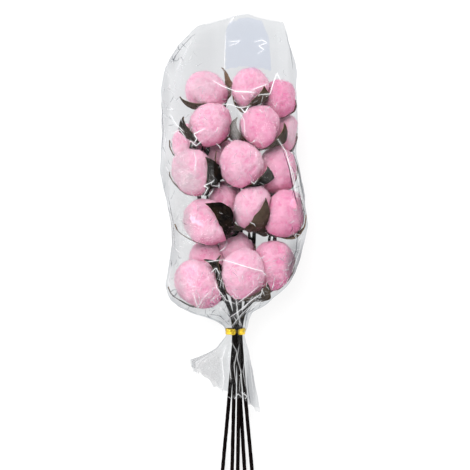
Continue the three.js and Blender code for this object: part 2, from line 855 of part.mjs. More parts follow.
stems.forEach((stem, i) => place(`stem_${i + 1}`, stemGeometry(stem), materials.stem));
for (const boll of bolls) {
  const number = String(boll.number).padStart(2, "0");
  place(`cotton_${number}`, cottonGeometry(boll), materials.cotton);
  place(`burr_${number}`, burrGeometry(boll), materials.burr);
}
place("sleeve", sleeveGeometry(pointsOf(bunch)), materials.film);
place("tie", tieGeometry(), materials.ribbon);

export default bunch;
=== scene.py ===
"""A bunch of dyed cotton in a clear film sleeve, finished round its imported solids.

Metres, +Z up, +Y from the cut stem ends towards the heads. The tables are in millimetres.
"""

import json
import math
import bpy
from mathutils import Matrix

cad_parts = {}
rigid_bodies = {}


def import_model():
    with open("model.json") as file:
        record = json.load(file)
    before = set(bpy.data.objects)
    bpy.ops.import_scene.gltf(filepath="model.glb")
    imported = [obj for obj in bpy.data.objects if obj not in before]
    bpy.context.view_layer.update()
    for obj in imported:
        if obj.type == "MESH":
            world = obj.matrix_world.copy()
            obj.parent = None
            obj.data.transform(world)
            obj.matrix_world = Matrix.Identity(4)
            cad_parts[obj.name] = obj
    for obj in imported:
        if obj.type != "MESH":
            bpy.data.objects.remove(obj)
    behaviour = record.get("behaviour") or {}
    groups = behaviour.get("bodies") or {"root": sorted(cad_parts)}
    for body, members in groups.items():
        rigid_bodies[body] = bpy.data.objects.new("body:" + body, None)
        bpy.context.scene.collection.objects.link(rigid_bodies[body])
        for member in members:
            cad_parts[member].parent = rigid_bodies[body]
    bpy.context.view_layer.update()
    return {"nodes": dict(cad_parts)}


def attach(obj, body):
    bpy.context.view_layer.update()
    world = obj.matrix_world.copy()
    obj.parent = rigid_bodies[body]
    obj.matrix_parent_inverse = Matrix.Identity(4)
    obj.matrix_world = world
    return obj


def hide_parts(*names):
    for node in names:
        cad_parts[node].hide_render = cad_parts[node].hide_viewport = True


bl_info = {
    "name": "Cotton stem bunch",
    "version": (1, 0, 0),
    "blender": (4, 5, 0),
    "location": "View3D > Sidebar > Bunch",
    "description": "Cotton heads, burrs, stems, film sleeve and tie of a wrapped bunch",
    "category": "Object",
}

from collections import namedtuple

import bpy
import numpy as np
from bpy.props import FloatProperty, FloatVectorProperty, IntProperty, PointerProperty
from mathutils import Vector, noise
from mathutils.bvhtree import BVHTree

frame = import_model()

MM = 0.001

# The photograph: millimetres to a pixel, the pixel where the bunch's origin lies, and its sides in pixels
PIXEL_SIZE = 1.15
PIXEL_ORIGIN = (234, 195)
PHOTO_SIDE = 470

# Height at which a pixel has that size, and height of the camera over it
SCALE_HEIGHT = 45 * MM
CAMERA_HEIGHT = 1.6

# Valve: turn about the boll's axis from its upper side, polar angle of the tip, lift of the tip off the
# cotton, width, twist that lifts one edge, and outward hook of the tip. Degrees and millimetres.
Valve = namedtuple("Valve", "turn tip lift width twist hook", defaults=(68, 3, 20, 0, 0))

# Boll: centre, heading of its axis from +Y towards +X, rise of the axis, radius, depth of dye, valves.
Boll = namedtuple("Boll", "centre heading rise radius dye valves")

BOLLS = [
    Boll((-30.5, 117.3, 58), -48, 12, 21, 0.25,
         [Valve(-55, 56, 7, 22, 0, 8), Valve(98, 80, 5, 13, -40, 5), Valve(130, 110, 3), Valve(-150)]),
    Boll((19, 119.6, 62), -2, 25, 20.5, 0.45,
         [Valve(30, 68, 4, 32, -5, 5), Valve(110, 105, 4, 20, 40), Valve(-150),
          Valve(-62, 100, 2, 20, 20)]),
    Boll((51.2, 108.7, 50), 14, 0, 19, 1.0,
         [Valve(120, 75, 2), Valve(-170), Valve(-110, 75, 2)]),
    Boll((-26.8, 78.8, 68.5), 20, 24, 22, 0.4,
         [Valve(-58, 82, 4, 26, -30, 7), Valve(95, 92, 2), Valve(170), Valve(-110, 112, 3, 22, -30)]),
    Boll((29.1, 75.3, 70), 2, 28, 22, 0.8,
         [Valve(-70, 60, 4, 24, -40, 3), Valve(66, 68, 3, 24, 30, 7), Valve(150), Valve(-145)]),
    Boll((56.3, 70.1, 34), 10, 0, 19.8, 0.4,
         [Valve(95, 75, 2), Valve(175), Valve(-120, 80, 2)]),
    Boll((-48.9, 57.5, 28), -15, -15, 21, 0.4,
         [Valve(-90, 60, 3, 13), Valve(-170), Valve(110, 80, 3), Valve(0, 100, 2)]),
    Boll((-19, 44.3, 34), -5, -5, 20.5, 0.5,
         [Valve(-90, 80, 2), Valve(90, 80, 2), Valve(180)]),
    Boll((9.2, 33.9, 71), -8, 28, 24.3, 0.35,
         [Valve(-88, 52, 4, 14, 0, 2), Valve(50, 84, 6, 30, 28, 3), Valve(130, 110, 3),
          Valve(-130, 110, 3)]),
    Boll((47.7, 27.6, 48), 8, 5, 24, 0.75,
         [Valve(110, 70, 2, 12), Valve(180), Valve(-100, 100, 3, 20, -30)]),
    Boll((-44.8, 24.7, 66), -30, 22, 23.8, 0.2,
         [Valve(42, 60, 4, 30, 15, 2), Valve(-100, 60, 2, 9), Valve(110, 110, 3, 22, 30), Valve(-160)]),
    Boll((-11.5, -8.6, 44), -10, 10, 21.5, 0.5,
         [Valve(100, 85, 2), Valve(180), Valve(-100, 85, 2)]),
    Boll((21.3, -14.4, 62), 8, 12, 22.5, 0.3,
         [Valve(32, 56, 3, 28, -8), Valve(-84, 116, 4, 24, -50, 2), Valve(92, 118, 4, 24, 50, 2),
          Valve(180)]),
    Boll((57.5, -21.8, 60), 33, 18, 24, 0.95,
         [Valve(88, 58, 2, 15, -22, 2), Valve(175), Valve(-100, 100, 3, 20, -30)]),
    Boll((-29.3, -31, 66), -58, 20, 25, 0.3,
         [Valve(34, 52, 5, 30, 8, 3), Valve(-106, 38, 2, 15, -22, 7), Valve(110, 104, 4, 26, 30),
          Valve(-160)]),
    Boll((2.3, -63.2, 38), -5, 10, 21.5, 0.4,
         [Valve(100, 80, 2), Valve(180), Valve(-100, 85, 2)]),
    Boll((-28.7, -77, 36), -16, 22, 22, 0.55,
         [Valve(118, 78, 2, 15), Valve(-166, 72, 3), Valve(-88, 82, 3, 15)]),
    Boll((44, -80.5, 50), 8, 5, 25, 0.75,
         [Valve(120, 70, 3, 12), Valve(180), Valve(-120, 75, 3)]),
    Boll((10.3, -90.3, 67), 14, 22, 25.5, 0.3,
         [Valve(-74, 58, 4, 20, -30, 3), Valve(60, 84, 5, 28, 35, 3), Valve(140, 100),
          Valve(-120, 104, 4, 22, -30)]),
    Boll((-38.5, -101.8, 60), -55, 20, 26, 0.35,
         [Valve(54, 58, 5, 26, 15, 3), Valve(-106, 42, 2, 16, -22, 5), Valve(110, 104, 4, 24, 30),
          Valve(-160)]),
]

# How worn and pale a boll's husk is, where it is not dark
WORN = {1: 1.0, 2: 0.8, 4: 0.25, 5: 0.7, 13: 0.9, 19: 0.7}

# Heads: loose lint that stands out past the solid, how far the solid is stretched along its axis and how
# much its foot is drawn in, sizes of the lumps on it, and height of the smallest as a share of the next
HEAD_FLUFF = 2.8
HEAD_STRETCH = 1.15
HEAD_WAIST = 0.04
LOBE_SIZE, LUMP_SIZE, GRAIN_SIZE = 16, 7, 2.2
GRAIN_SHARE = 0.6

# Height over the surface round it at which a place counts as a hollow and as a ridge, and the rounds of
# smoothing that give the surface round it
HOLLOW_LEVEL, RIDGE_LEVEL = -0.35, 0.45
EASING_ROUNDS = 14

# Fibres: depth of the root, least length and steepness, rise and lean of the two halves and width at the
# bend, all but the first as shares. Then the fuzz's length and width against theirs.
ROOT_DEPTH = 0.3
LEAST = 0.35
LOWER_RISE, LOWER_LEAN = 0.5, 0.35
UPPER_RISE, UPPER_LEAN = 0.15, 0.4
MIDDLE_WIDTH = 0.8
FUZZ_LENGTH, FUZZ_WIDTH = 0.6, 1.3

# The direction of the side of a head that is painted a deeper pink as shade, away from the key light, and
# how far towards it, in radii, the painted shade begins and is deepest
SHADED_SIDE = (0.3, -0.7, -0.5)
SHADED_OVER = (-0.1, 1.1)

# Cup of a burr: gap to the head, height, profile from the foot's centre over the rim, waviness of its rim
# and how often it goes in and out, and the sections of its mesh
CUP_GAP = 0.3
CUP_HEIGHT = 4
CUP_STEPS = (0, 0.12, 0.3, 0.6, 0.9, 1)
CUP_RADII = (0, 2.6, 3, 4.6, 5.4, 0)
CUP_RISES = (0, 0, 0.8, 2.2, CUP_HEIGHT, CUP_HEIGHT)
CUP_WAVE = 0.06
CUP_LOBES = 5
CUP_COLUMNS, CUP_ROWS = 24, 10

# Valves: the root's polar angle, width as a share of the widest and distance off the head, the blade's gap
# to the cotton, thickness, place of the widest point, rolled edges and uneven width, the sections of its
# mesh, the powers that shape its outline, and how fast its width varies
VALVE_ROOT_POLAR = 173
VALVE_ROOT_WIDTH = 0.85
VALVE_ROOT_LIFT = 1.4
VALVE_GAP = 0.7
VALVE_THICKNESS = 0.7
VALVE_WIDEST_AT = 0.36
VALVE_ROLL = 0.6
VALVE_WAVE = 0.22
VALVE_COLUMNS, VALVE_ROWS = 8, 22
VALVE_EGG, VALVE_POINT = 1.8, 1.3
WAVES_ALONG, WAVES_ACROSS = 7, 2

# The stretches of a valve's length over which it twists, leans out, hooks and rolls its edges, and the
# power that delays the lean
TWIST_OVER = (0.1, 0.6)
LEAN_OVER = (0.3, 1)
HOOK_OVER = (0.65, 1)
ROLL_OVER = (0.2, 0.8)
LEAN_POWER = 1.4

# The rooted part of a valve, its least turning radius, how near the cotton it may dip beside its middle,
# and its least gaps to its own head and to a neighbour's
ROOTED_UP_TO = 0.05
TURN_LEAST = 3
DIP_SHARE = 0.97
OWN_GAP, NEIGHBOUR_GAP = 0.3, 0.5

# How far a boll looks for its own cotton and for its neighbours', how far off its cotton the second look
# begins, and the distance past which bolls are no neighbours
REACH_LENGTH, ROOM_LENGTH = 60, 40
LOOK_START = 0.1
NEIGHBOUR_DISTANCE = 75

# Stems: their number, the swell of their bark, and size and height of its bumps
STEMS = 5
STEM_SWELL = 0.25
BARK_SIZE, BARK_HEIGHT = 5, 0.5

# The film's outline as seen from above, in the photograph's pixels, from the closed end down
LEFT_EDGE = [
    (203.5, 24.1), (178.2, 41.3), (164.4, 68.9), (161, 89.5), (162.1, 114.8), (163.3, 132), (161.6, 149.2),
    (160.4, 172.2), (163.3, 184.7), (167.1, 201.7), (171.4, 225.5), (172.5, 245), (169.3, 266.7),
    (165.5, 286.3), (169.3, 298.2), (178, 305.8), (194.2, 314.4), (209.4, 317.7), (220.2, 323.1),
    (225.7, 329),
]
RIGHT_EDGE = [
    (282.7, 21.8), (288.4, 37.9), (295.3, 59.7), (297, 71.2), (295.9, 87.2), (297, 103.3), (297.6, 132),
    (295.9, 149.2), (296.1, 157.6), (301.5, 184.7), (305.9, 211.8), (308, 225.5), (304.8, 240.7),
    (300.5, 255.9), (294, 274.3), (285.3, 288.4), (274.4, 297.1), (264.7, 305.8), (250.6, 312.3),
    (248, 318), (246, 329),
]
CLOSED_END = [
    (203.5, 24.1), (225.3, 18.4), (236.8, 15), (248.2, 13.2), (256.3, 16), (265.5, 18.4), (282.7, 21.8),
]

# The film's underside and top, by Y
FILM_LEVELS = [
    (-153.5, 18.8, 35.2), (-147, 14, 41), (-141.5, 9, 53), (-137, 5, 65), (-128, 1.5, 80), (-118.5, 0, 88),
    (-104.5, 0, 93), (-81.5, 0, 94), (-57.5, 0, 92), (-38, 0, 93), (-18, 0, 95), (12, 0, 98), (46, 0, 99),
    (80, 0, 98), (115, 0, 90), (138, 0, 80), (156, 0, 64), (176, 1.5, 44), (190, 6, 29), (200, 13.5, 16.5),
]

# Height of the seam at the closed end, and the neck's two ends, by Y
SEAM_Z = 15
NECK_TOP = -153.5
NECK_BOTTOM = -162.5

# The skirt below the neck: share of its length, left and right edges, underside and top. Then its length
# and the slant of its mouth.
SKIRT = [(0, -8.8, 11.7, 18.8, 35.2), (0.25, -19, 15.5, 15, 36), (0.5, -36, 18.5, 10, 36),
         (0.75, -50, 21.5, 7, 35), (1, -48, 25, 5, 33)]
SKIRT_LENGTH = 70
SKIRT_SLANT = 0.62

# Shares of the film's rows from the closed end to the neck's top and to its bottom, and of the points round
# it that lie on its upper side
BODY_SHARE = 0.82
NECK_SHARE = 0.84
UPPER_SHARE = 0.68

# Where the tie is twisted tight, in pixels, then the half width of its tightest stretch, the heights
# between which the twist begins, how narrow the ribbon is there and how deep it sinks
KNOT_PIXEL = (237, 332)
KNOT_CORE = 0.6
KNOT_FROM, KNOT_FULL = 28, 33
KNOT_WIDTH = 0.45
KNOT_DEPTH = 1.4

# Creases of the foil: size and height
FOIL_CREASES = ((3, 0.9), (1.2, 0.35))

# Film: how far it hangs between the heads, the curve that it hangs in and its height over what it lies on
FILM_SAG = 9
FILM_CURVE = 90
FILM_REST = 1.2

# Sine of the angle round the sleeve over which the film comes to lie on the heads
LAID_OVER = (0.05, 0.45)

# A section of the film: height of its waist, flatness below and above, and the extra drop that lays it flat
WAIST_SHARE = 0.43
LOWER_POWER, UPPER_POWER = 2.8, 2.4
FLAT_UNDER, FLAT_DROP = 2, 6

# The film's closed end, where it starts to be gathered and where it is gathered, by Y, the stretch over
# which its outline is eased, and the shares of its length that turn to the seam and that close
END_Y = 199
GATHER_FROM, GATHER_TO = -118, -150
EASED_OVER = 2.5
SEAM_TURN, SEAM_CLOSE = 0.06, 0.02

# Crinkles of the film: size in millimetres, height as a share of the look's, and seed. Then their height
# where the film is smooth, how thin and how sharp they are, and their stretch along the sleeve.
CRINKLE_WAVES = ((26, 1.0, 1), (13, 0.55, 2), (6, 0.3, 3))
SMOOTH_SHARE = 0.35
THINNESS, SHARPNESS = 3.5, 1.5
STRETCHED = (1, 0.7, 1)

# A fold: sharpness of its rise and of its painted highlight, and how that highlight is broken up: least,
# range and waves
RISE_SHARPNESS, GLOW_SHARPNESS = 1.2, 2
BROKEN_LEAST, BROKEN_RANGE = 0.75, 0.25
BROKEN_WAVES = (1.7, 2.3)

# Least heights of the film and of the skirt over the floor
FILM_CLEARANCE, SKIRT_CLEARANCE = 0.2, 1

# Pleats at the neck and on the skirt, and the skirt's ragged mouth: height, count round it, and shift
NECK_PLEATS = ((0.07, 9, 0), (0.04, 16, 1))
SKIRT_PLEATS = ((0.1, 5, 0), (0.05, 13, 2))
SKIRT_FOLDS = ((0.04, 9, 0),)
RAGGED_MOUTH = ((2.2, 4, 1), (1.5, 11, 0), (1.2, 23, 2))

# Height over the bunch from which its surface is felt for, and rounds in which a pixel's place is found
ABOVE = 0.3
ROUNDS = 3

# Folds: points in the photograph's pixels, width and height in millimetres, and the strength of the painted
# highlight on the crest, or below zero of the painted shade along it
Fold = namedtuple("Fold", "points width height glint", defaults=(1.8, 0.8, 0.8))
FOLDS = [
    Fold([(230, 23), (235, 16), (241, 15)], 3.4, 0.8, 0.7),
    Fold([(229, 42), (240, 41), (236, 44), (229, 46)], 2.2),
    Fold([(255, 42), (262, 40), (267, 43), (259, 46), (264, 50), (258, 54)], 2.2, 0.8, 0.9),
    Fold([(212, 80), (222, 86), (235, 91), (247, 92)], 1.6, 0.9, 1),
    Fold([(234, 91.5), (255, 92.5)], 3.4, 0.7, 0.9),
    Fold([(252, 90), (268, 84)], 1.8, 0.9, 1),
    Fold([(258, 95), (270, 94), (273, 84), (277, 73), (281, 82)], 2, 1, 1),
    Fold([(222, 104), (232, 105), (240, 108), (250, 106)], 2, 0.8, 0.8),
    Fold([(240, 107), (245, 113), (249, 106)], 3, 0.9, 0.9),
    Fold([(238, 110), (244, 120), (245, 136)], 1.8, 0.8, 0.7),
    Fold([(170, 114), (176, 124), (184, 132)], 3.6, 0.8, 0.5),
    Fold([(172, 134), (180, 130), (186, 138)], 2.6, 0.8, 0.5),
    Fold([(192, 146), (197, 139), (194, 134), (206, 128)], 2.2, 0.9, 0.9),
    Fold([(190, 140), (196, 146), (202, 141)], 2, 0.9, 0.9),
    Fold([(194, 150), (196, 160), (195, 173)], 2.4, 0.6, 0.5),
    Fold([(203, 197), (208, 188), (204, 186), (214, 181)], 2.4, 0.9, 0.8),
    Fold([(209, 196), (213, 190)], 2, 0.9, 0.8),
    Fold([(251, 181), (254, 184), (257, 180)], 1.8, 0.8, 0.7),
    Fold([(222, 259.5), (234, 263), (250, 268), (262, 271), (267, 276)], 1.7, 0.9, 1),
    Fold([(206, 262), (214, 261), (222, 260)], 1.6, 0.9, 0.8),
    Fold([(211, 273), (216, 268), (220, 275)], 2, 0.9, 0.8),
    Fold([(215, 280), (217, 288), (226, 300), (236, 304)], 1.6, 0.9, 0.8),
    Fold([(222, 277), (220, 288)], 1.4, 0.7, 0.5),
    Fold([(236, 304), (247, 296), (260, 285)], 1.5, 0.9, 0.6),
    Fold([(193, 292), (198, 308), (203, 298)], 2.8, 0.8, 0.6),
    Fold([(203, 298), (210, 292)], 2, 0.8, 0.5),
    Fold([(222, 322), (238, 312), (252, 300), (262, 293)], 3, 1.2, 0.7),
    Fold([(231, 327), (240, 316), (250, 306)], 2.4, 1, 0.7),
    Fold([(216, 304), (226, 312), (232, 324)], 2.2, 1, 0.6),
    Fold([(209, 309), (222, 318)], 2, 1, 0.5),
    Fold([(278, 140), (286, 152), (291, 172), (297, 198)], 2.6, 0.6, 0.8),
    Fold([(283, 150), (289, 168), (293, 190), (298, 206)], 3, 0.6, -0.9),
    Fold([(292, 150), (297, 165), (301, 185), (304, 200)], 3, 0.6, -0.8),
    Fold([(296, 170), (300, 190), (303, 210)], 2.6, 0.6, 0.8),
    Fold([(300, 196), (304, 212), (303, 226)], 3, 0.6, -0.8),
    Fold([(288, 160), (294, 176), (296, 192)], 2.2, 0.6, 0.7),
    Fold([(298, 228), (296, 250), (290, 268)], 2.8, 0.6, -0.5),
    Fold([(303, 232), (299, 252), (292, 272)], 2.4, 0.6, 0.5),
    Fold([(160, 100), (163, 128), (162, 150)], 2.4, 0.5, -0.4),
    Fold([(168, 196), (173, 222), (175, 250)], 2.6, 0.5, -0.4),
    Fold([(171, 62), (182, 47), (196, 33)], 2.8, 0.5, -0.25),
    Fold([(176, 72), (184, 56), (192, 40)], 2.8, 0.5, 0.3),
    Fold([(285, 30), (290, 48), (293, 70)], 2.4, 0.5, -0.25),
    Fold([(224, 74), (225, 50), (226, 32)], 1.8, 0.5, 0.5),
    Fold([(222, 308), (231, 318), (235, 328)], 2.8, 0.8, -0.8),
    Fold([(252, 306), (244, 316), (241, 328)], 2.8, 0.8, -0.7),
    Fold([(236, 300), (238, 314), (240, 326)], 2.4, 0.8, 0.8),
    Fold([(208, 314), (220, 316), (230, 326)], 2.2, 0.8, -0.5),
    Fold([(262, 300), (252, 308), (246, 320)], 2.2, 0.8, 0.7),
    Fold([(163, 120), (166, 140), (165, 160)], 2.4, 0.7, 0.3),
    Fold([(169, 205), (174, 226), (176, 246)], 2.6, 0.7, 0.35),
    Fold([(172, 268), (169, 280), (172, 296)], 2.4, 0.7, 0.4),
    Fold([(166, 68), (176, 54), (190, 42)], 3, 0.7, 0.25),
    Fold([(226, 346), (222, 360), (224, 378), (222, 392)], 3.4, 1, 0.6),
    Fold([(232, 342), (229, 360), (231, 380)], 2.4, 1, 0.5),
    Fold([(210, 354), (200, 362), (194, 372)], 2, 0.8, 0.4),
    Fold([(241, 392), (247, 396), (243, 400)], 2.2, 1, 0.7),
    Fold([(247, 345), (251, 372), (254, 400)], 2, 0.8, 0.4),
    Fold([(232, 343), (237, 352), (234, 366), (236, 384)], 1.4, 0.7, 0.55),
    Fold([(239, 345), (237, 358), (241, 372), (239, 392)], 1.4, 0.7, 0.5),
    Fold([(243, 342), (245, 356), (243, 372), (246, 388)], 1.2, 0.7, 0.5),
    Fold([(226, 394), (233, 398), (238, 394), (246, 401)], 2.2, 0.8, 0.5),
    Fold([(232, 314), (236, 320), (233, 327)], 1.6, 0.8, 0.7),
    Fold([(243, 311), (239, 319), (242, 327)], 1.6, 0.8, 0.6),
]

# Milky places: centre in pixels, half sizes in pixels, strength
HAZES = [
    ((180, 170), (13, 30), 0.3), ((181, 225), (14, 34), 0.4), ((176, 285), (12, 22), 0.28),
    ((192, 306), (22, 9), 0.25), ((236, 313), (17, 14), 0.06), ((300, 190), (8, 42), 0.2),
    ((296, 262), (12, 24), 0.2), ((292, 134), (6, 20), 0.3), ((236, 128), (6, 15), 0.4),
    ((188, 182), (14, 16), 0.35), ((207, 368), (22, 32), 0.5), ((205, 84), (20, 14), 0.16),
]

# Places painted grey as shade, given in the same way
SHADES = [
    ((303, 188), (7, 44), 0.5), ((296, 262), (12, 28), 0.75), ((251, 380), (6, 36), 0.5),
    ((166, 100), (5, 42), 0.22), ((176, 300), (9, 12), 0.25), ((173, 245), (8, 40), 0.3),
    ((172, 52), (9, 24), 0.24), ((232, 318), (16, 12), 0.3), ((200, 200), (7, 14), 0.2),
    ((206, 384), (14, 14), 0.12), ((292, 60), (5, 40), 0.14), ((204, 50), (14, 34), 0.08),
    ((166, 180), (5, 30), 0.2),
]

# Crumpled places, given in the same way
CRUMPLES = [
    ((301, 190), (10, 52), 1.0), ((166, 150), (8, 60), 0.5), ((172, 240), (9, 50), 0.6),
    ((232, 312), (30, 18), 1.0), ((195, 300), (30, 14), 0.6), ((292, 275), (14, 30), 0.6),
    ((178, 50), (18, 24), 0.5), ((240, 100), (40, 14), 0.35), ((222, 370), (30, 36), 0.9),
    ((176, 90), (14, 40), 0.25), ((225, 180), (36, 70), 0.12), ((240, 280), (40, 22), 0.5),
    ((285, 50), (10, 34), 0.25),
]

# Crests: width as a share of their fold's, height against half the width, spacing of their points, height
# of one that misses the film, and painted highlight of the film beside a fold
CREST_SHARE = 0.45
CREST_RISE = 0.5
CREST_SPACING, CRINKLE_SPACING = 1.6, 2
RIDGE_FALLBACK = 20
GLINT_SHARE = 0.3

# Film whose normal rises less than this is not on the upper side
UPPER_LEVEL = 0.05

# Small crinkles in a crumpled place whose half sizes multiply to that area, and where the heads lie in the
# photograph
CRINKLES, CRINKLE_AREA = 52, 400
HEADS_LEFT, HEADS_RIGHT, HEADS_BOTTOM = 182, 286, 300

# A crinkle: seed of the random draws, its pieces, their shortest and longest in pixels, its narrowest and
# widest in millimetres, how much its direction varies and how much it bends, and its strengths over the
# heads and beside them: painted highlight above zero, painted shade below zero
CRINKLE_SEED = 11
CRINKLE_PIECES = 3
CRINKLE_REACH = (1.2, 4)
CRINKLE_WIDTH = (0.4, 1.2)
CRINKLE_TURN, CRINKLE_BEND = 0.6, 0.5
OVER_HEADS = (0.5, 0.3, 0.15)
BESIDE_HEADS = (0.8, 0.5, 0.3, -0.45, -0.3, -0.2)

# A soft patch is full up to the first share of its half size and gone at the second
PATCH_CORE, PATCH_RIM = 0.35, 1.15

# The film lies double here
DOUBLE_LAYER = [
    (225.5, 69), (225.5, 31), (230, 22), (246, 17), (262, 21), (269, 38), (271, 71), (262, 68), (240, 67),
]


def to_plan(u, v, height=SCALE_HEIGHT):
    """The X and Y in metres of what a pixel of the photograph shows at that height."""
    nearness = 1 + (SCALE_HEIGHT - height) / CAMERA_HEIGHT
    middle = PHOTO_SIDE / 2
    x = (middle - PIXEL_ORIGIN[0] + (u - middle) * nearness) * PIXEL_SIZE * MM
    y = (PIXEL_ORIGIN[1] - middle - (v - middle) * nearness) * PIXEL_SIZE * MM
    return x, y


def lerp(a, b, share):
    return a + (b - a) * share


def smooth(x, low, high):
    """0 below low, 1 above high, and eased between them."""
    share = np.clip((x - low) / (high - low), 0, 1)
    return share * share * (3 - 2 * share)


# Meshes


def select_only(obj):
    bpy.ops.object.select_all(action="DESELECT")
    obj.select_set(True)
    bpy.context.view_layer.objects.active = obj


def vectors(obj, key):
    flat = np.empty(len(obj.data.vertices) * 3)
    obj.data.vertices.foreach_get(key, flat)
    return flat.reshape(-1, 3)


def coords(obj):
    return vectors(obj, "co")


def put_coords(obj, points):
    obj.data.vertices.foreach_set("co", np.ascontiguousarray(points, dtype=np.float64).ravel())
    obj.data.update()


def normals(obj):
    return vectors(obj, "normal")


def store(obj, name, values):
    """Keeps a number for each point of a mesh, or one for all of them, for its material to read."""
    attribute = obj.data.attributes.get(name) or obj.data.attributes.new(name, "FLOAT", "POINT")
    values = np.broadcast_to(np.asarray(values, dtype=np.float32), len(obj.data.vertices))
    attribute.data.foreach_set("value", np.ascontiguousarray(values))


def noise_at(points, size, seed=0.0):
    """Soft noise from -1 to 1 at each point, with lumps of about that size."""
    shift = Vector((seed * 3.1, seed * 7.7, seed * 1.3))
    return np.array([noise.noise(Vector(p) / size + shift) for p in points])


def grid(name, columns, rows, place):
    """A sheet whose points are placed from their share across, -1 to 1, and along, 0 to 1."""
    bpy.ops.object.select_all(action="DESELECT")
    bpy.ops.mesh.primitive_grid_add(x_subdivisions=columns, y_subdivisions=rows, size=2)
    obj = bpy.context.object
    obj.name = obj.data.name = name
    flat = coords(obj)
    put_coords(obj, place(flat[:, 0], (flat[:, 1] + 1) / 2))
    return obj


def edit(obj, *steps):
    """Runs edit-mode steps on the whole of a mesh."""
    select_only(obj)
    bpy.ops.object.mode_set(mode="EDIT")
    bpy.ops.mesh.select_all(action="SELECT")
    for step in steps:
        step()
    bpy.ops.object.mode_set(mode="OBJECT")


def merge_points(distance=0.02 * MM):
    bpy.ops.mesh.remove_doubles(threshold=distance)


def to_quads():
    bpy.ops.mesh.tris_convert_to_quads(face_threshold=math.radians(60), shape_threshold=math.radians(60))


def turn_out():
    bpy.ops.mesh.normals_make_consistent(inside=False)


def modify(obj, kind, **settings):
    """Adds a modifier and applies it."""
    select_only(obj)
    modifier = obj.modifiers.new(kind.title(), kind)
    for key, value in settings.items():
        setattr(modifier, key, value)
    bpy.ops.object.modifier_apply(modifier=modifier.name)


def subdivide(obj, levels):
    modify(obj, "SUBSURF", levels=levels, render_levels=levels)


def roughen(obj, size, height):
    """Moves the surface in and out by soft noise with lumps of that size."""
    texture = bpy.data.textures.new(f"{obj.name}_lumps", "CLOUDS")
    texture.noise_scale = size
    texture.noise_depth = 2
    modify(obj, "DISPLACE", texture=texture, texture_coords="LOCAL", strength=height, mid_level=0.5)
    bpy.data.textures.remove(texture)


def swell(obj, height):
    modify(obj, "DISPLACE", strength=height, mid_level=0)


def copy_of(node, name):
    """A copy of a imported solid's mesh as a new object, with its loose triangles joined up."""
    obj = bpy.data.objects.new(name, frame["nodes"][node].data.copy())
    obj.data.name = name
    obj.data.materials.clear()
    bpy.context.scene.collection.objects.link(obj)
    edit(obj, merge_points, to_quads)
    return obj


def join(objects, name):
    bpy.ops.object.select_all(action="DESELECT")
    for obj in objects:
        obj.select_set(True)
    bpy.context.view_layer.objects.active = objects[0]
    if len(objects) > 1:
        bpy.ops.object.join()
    joined = bpy.context.view_layer.objects.active
    joined.name = joined.data.name = name
    return joined


def finish_piece(obj, material, slot, *replaced):
    obj.data.materials.clear()
    obj.data.materials.append(material)
    select_only(obj)
    bpy.ops.object.shade_smooth()
    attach(obj, "root")
    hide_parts(*replaced)


# Materials


class Shader:
    """A material's nodes, added one by one. An input that is given a socket is linked to it."""

    def __init__(self, name):
        self.material = bpy.data.materials.new(name)
        self.material.use_nodes = True
        self.tree = self.material.node_tree
        self.tree.nodes.clear()

    def add(self, kind, inputs=None, **settings):
        node = self.tree.nodes.new(kind)
        for key, value in settings.items():
            setattr(node, key, value)
        for key, value in (inputs or {}).items():
            if isinstance(value, bpy.types.NodeSocket):
                self.tree.links.new(value, node.inputs[key])
            else:
                node.inputs[key].default_value = value
        return node

    def attribute(self, name):
        return self.add("ShaderNodeAttribute", attribute_name=name).outputs["Fac"]

    def place(self):
        return self.add("ShaderNodeTexCoord").outputs["Object"]

    def noise(self, scale, detail=3, vector=None, roughness=0.5):
        inputs = {"Scale": scale, "Detail": detail, "Roughness": roughness}
        inputs["Vector"] = vector or self.place()
        return self.add("ShaderNodeTexNoise", inputs).outputs["Fac"]

    def ramp(self, fac, low, high, to_low=0.0, to_high=1.0):
        inputs = {"Value": fac, "From Min": low, "From Max": high, "To Min": to_low, "To Max": to_high}
        return self.add("ShaderNodeMapRange", inputs).outputs["Result"]

    def math(self, operation, a, b):
        return self.add("ShaderNodeMath", {0: a, 1: b}, operation=operation, use_clamp=True).outputs[0]

    def mix(self, fac, a, b, blend="MIX"):
        inputs = {0: fac, 6: a, 7: b}
        node = self.add("ShaderNodeMix", inputs, data_type="RGBA", blend_type=blend)
        return node.outputs[2]

    def bump(self, height, distance, strength=1.0, below=None):
        inputs = {"Height": height, "Distance": distance, "Strength": strength}
        if below is not None:
            inputs["Normal"] = below
        return self.add("ShaderNodeBump", inputs).outputs["Normal"]

    def surface(self, inputs):
        """Ends the material in one plain surface with these inputs."""
        return self.output(self.add("ShaderNodeBsdfPrincipled", inputs).outputs[0])

    def output(self, surface):
        self.add("ShaderNodeOutputMaterial", {"Surface": surface})
        return self.material


def colour(value):
    return (*value, 1.0)


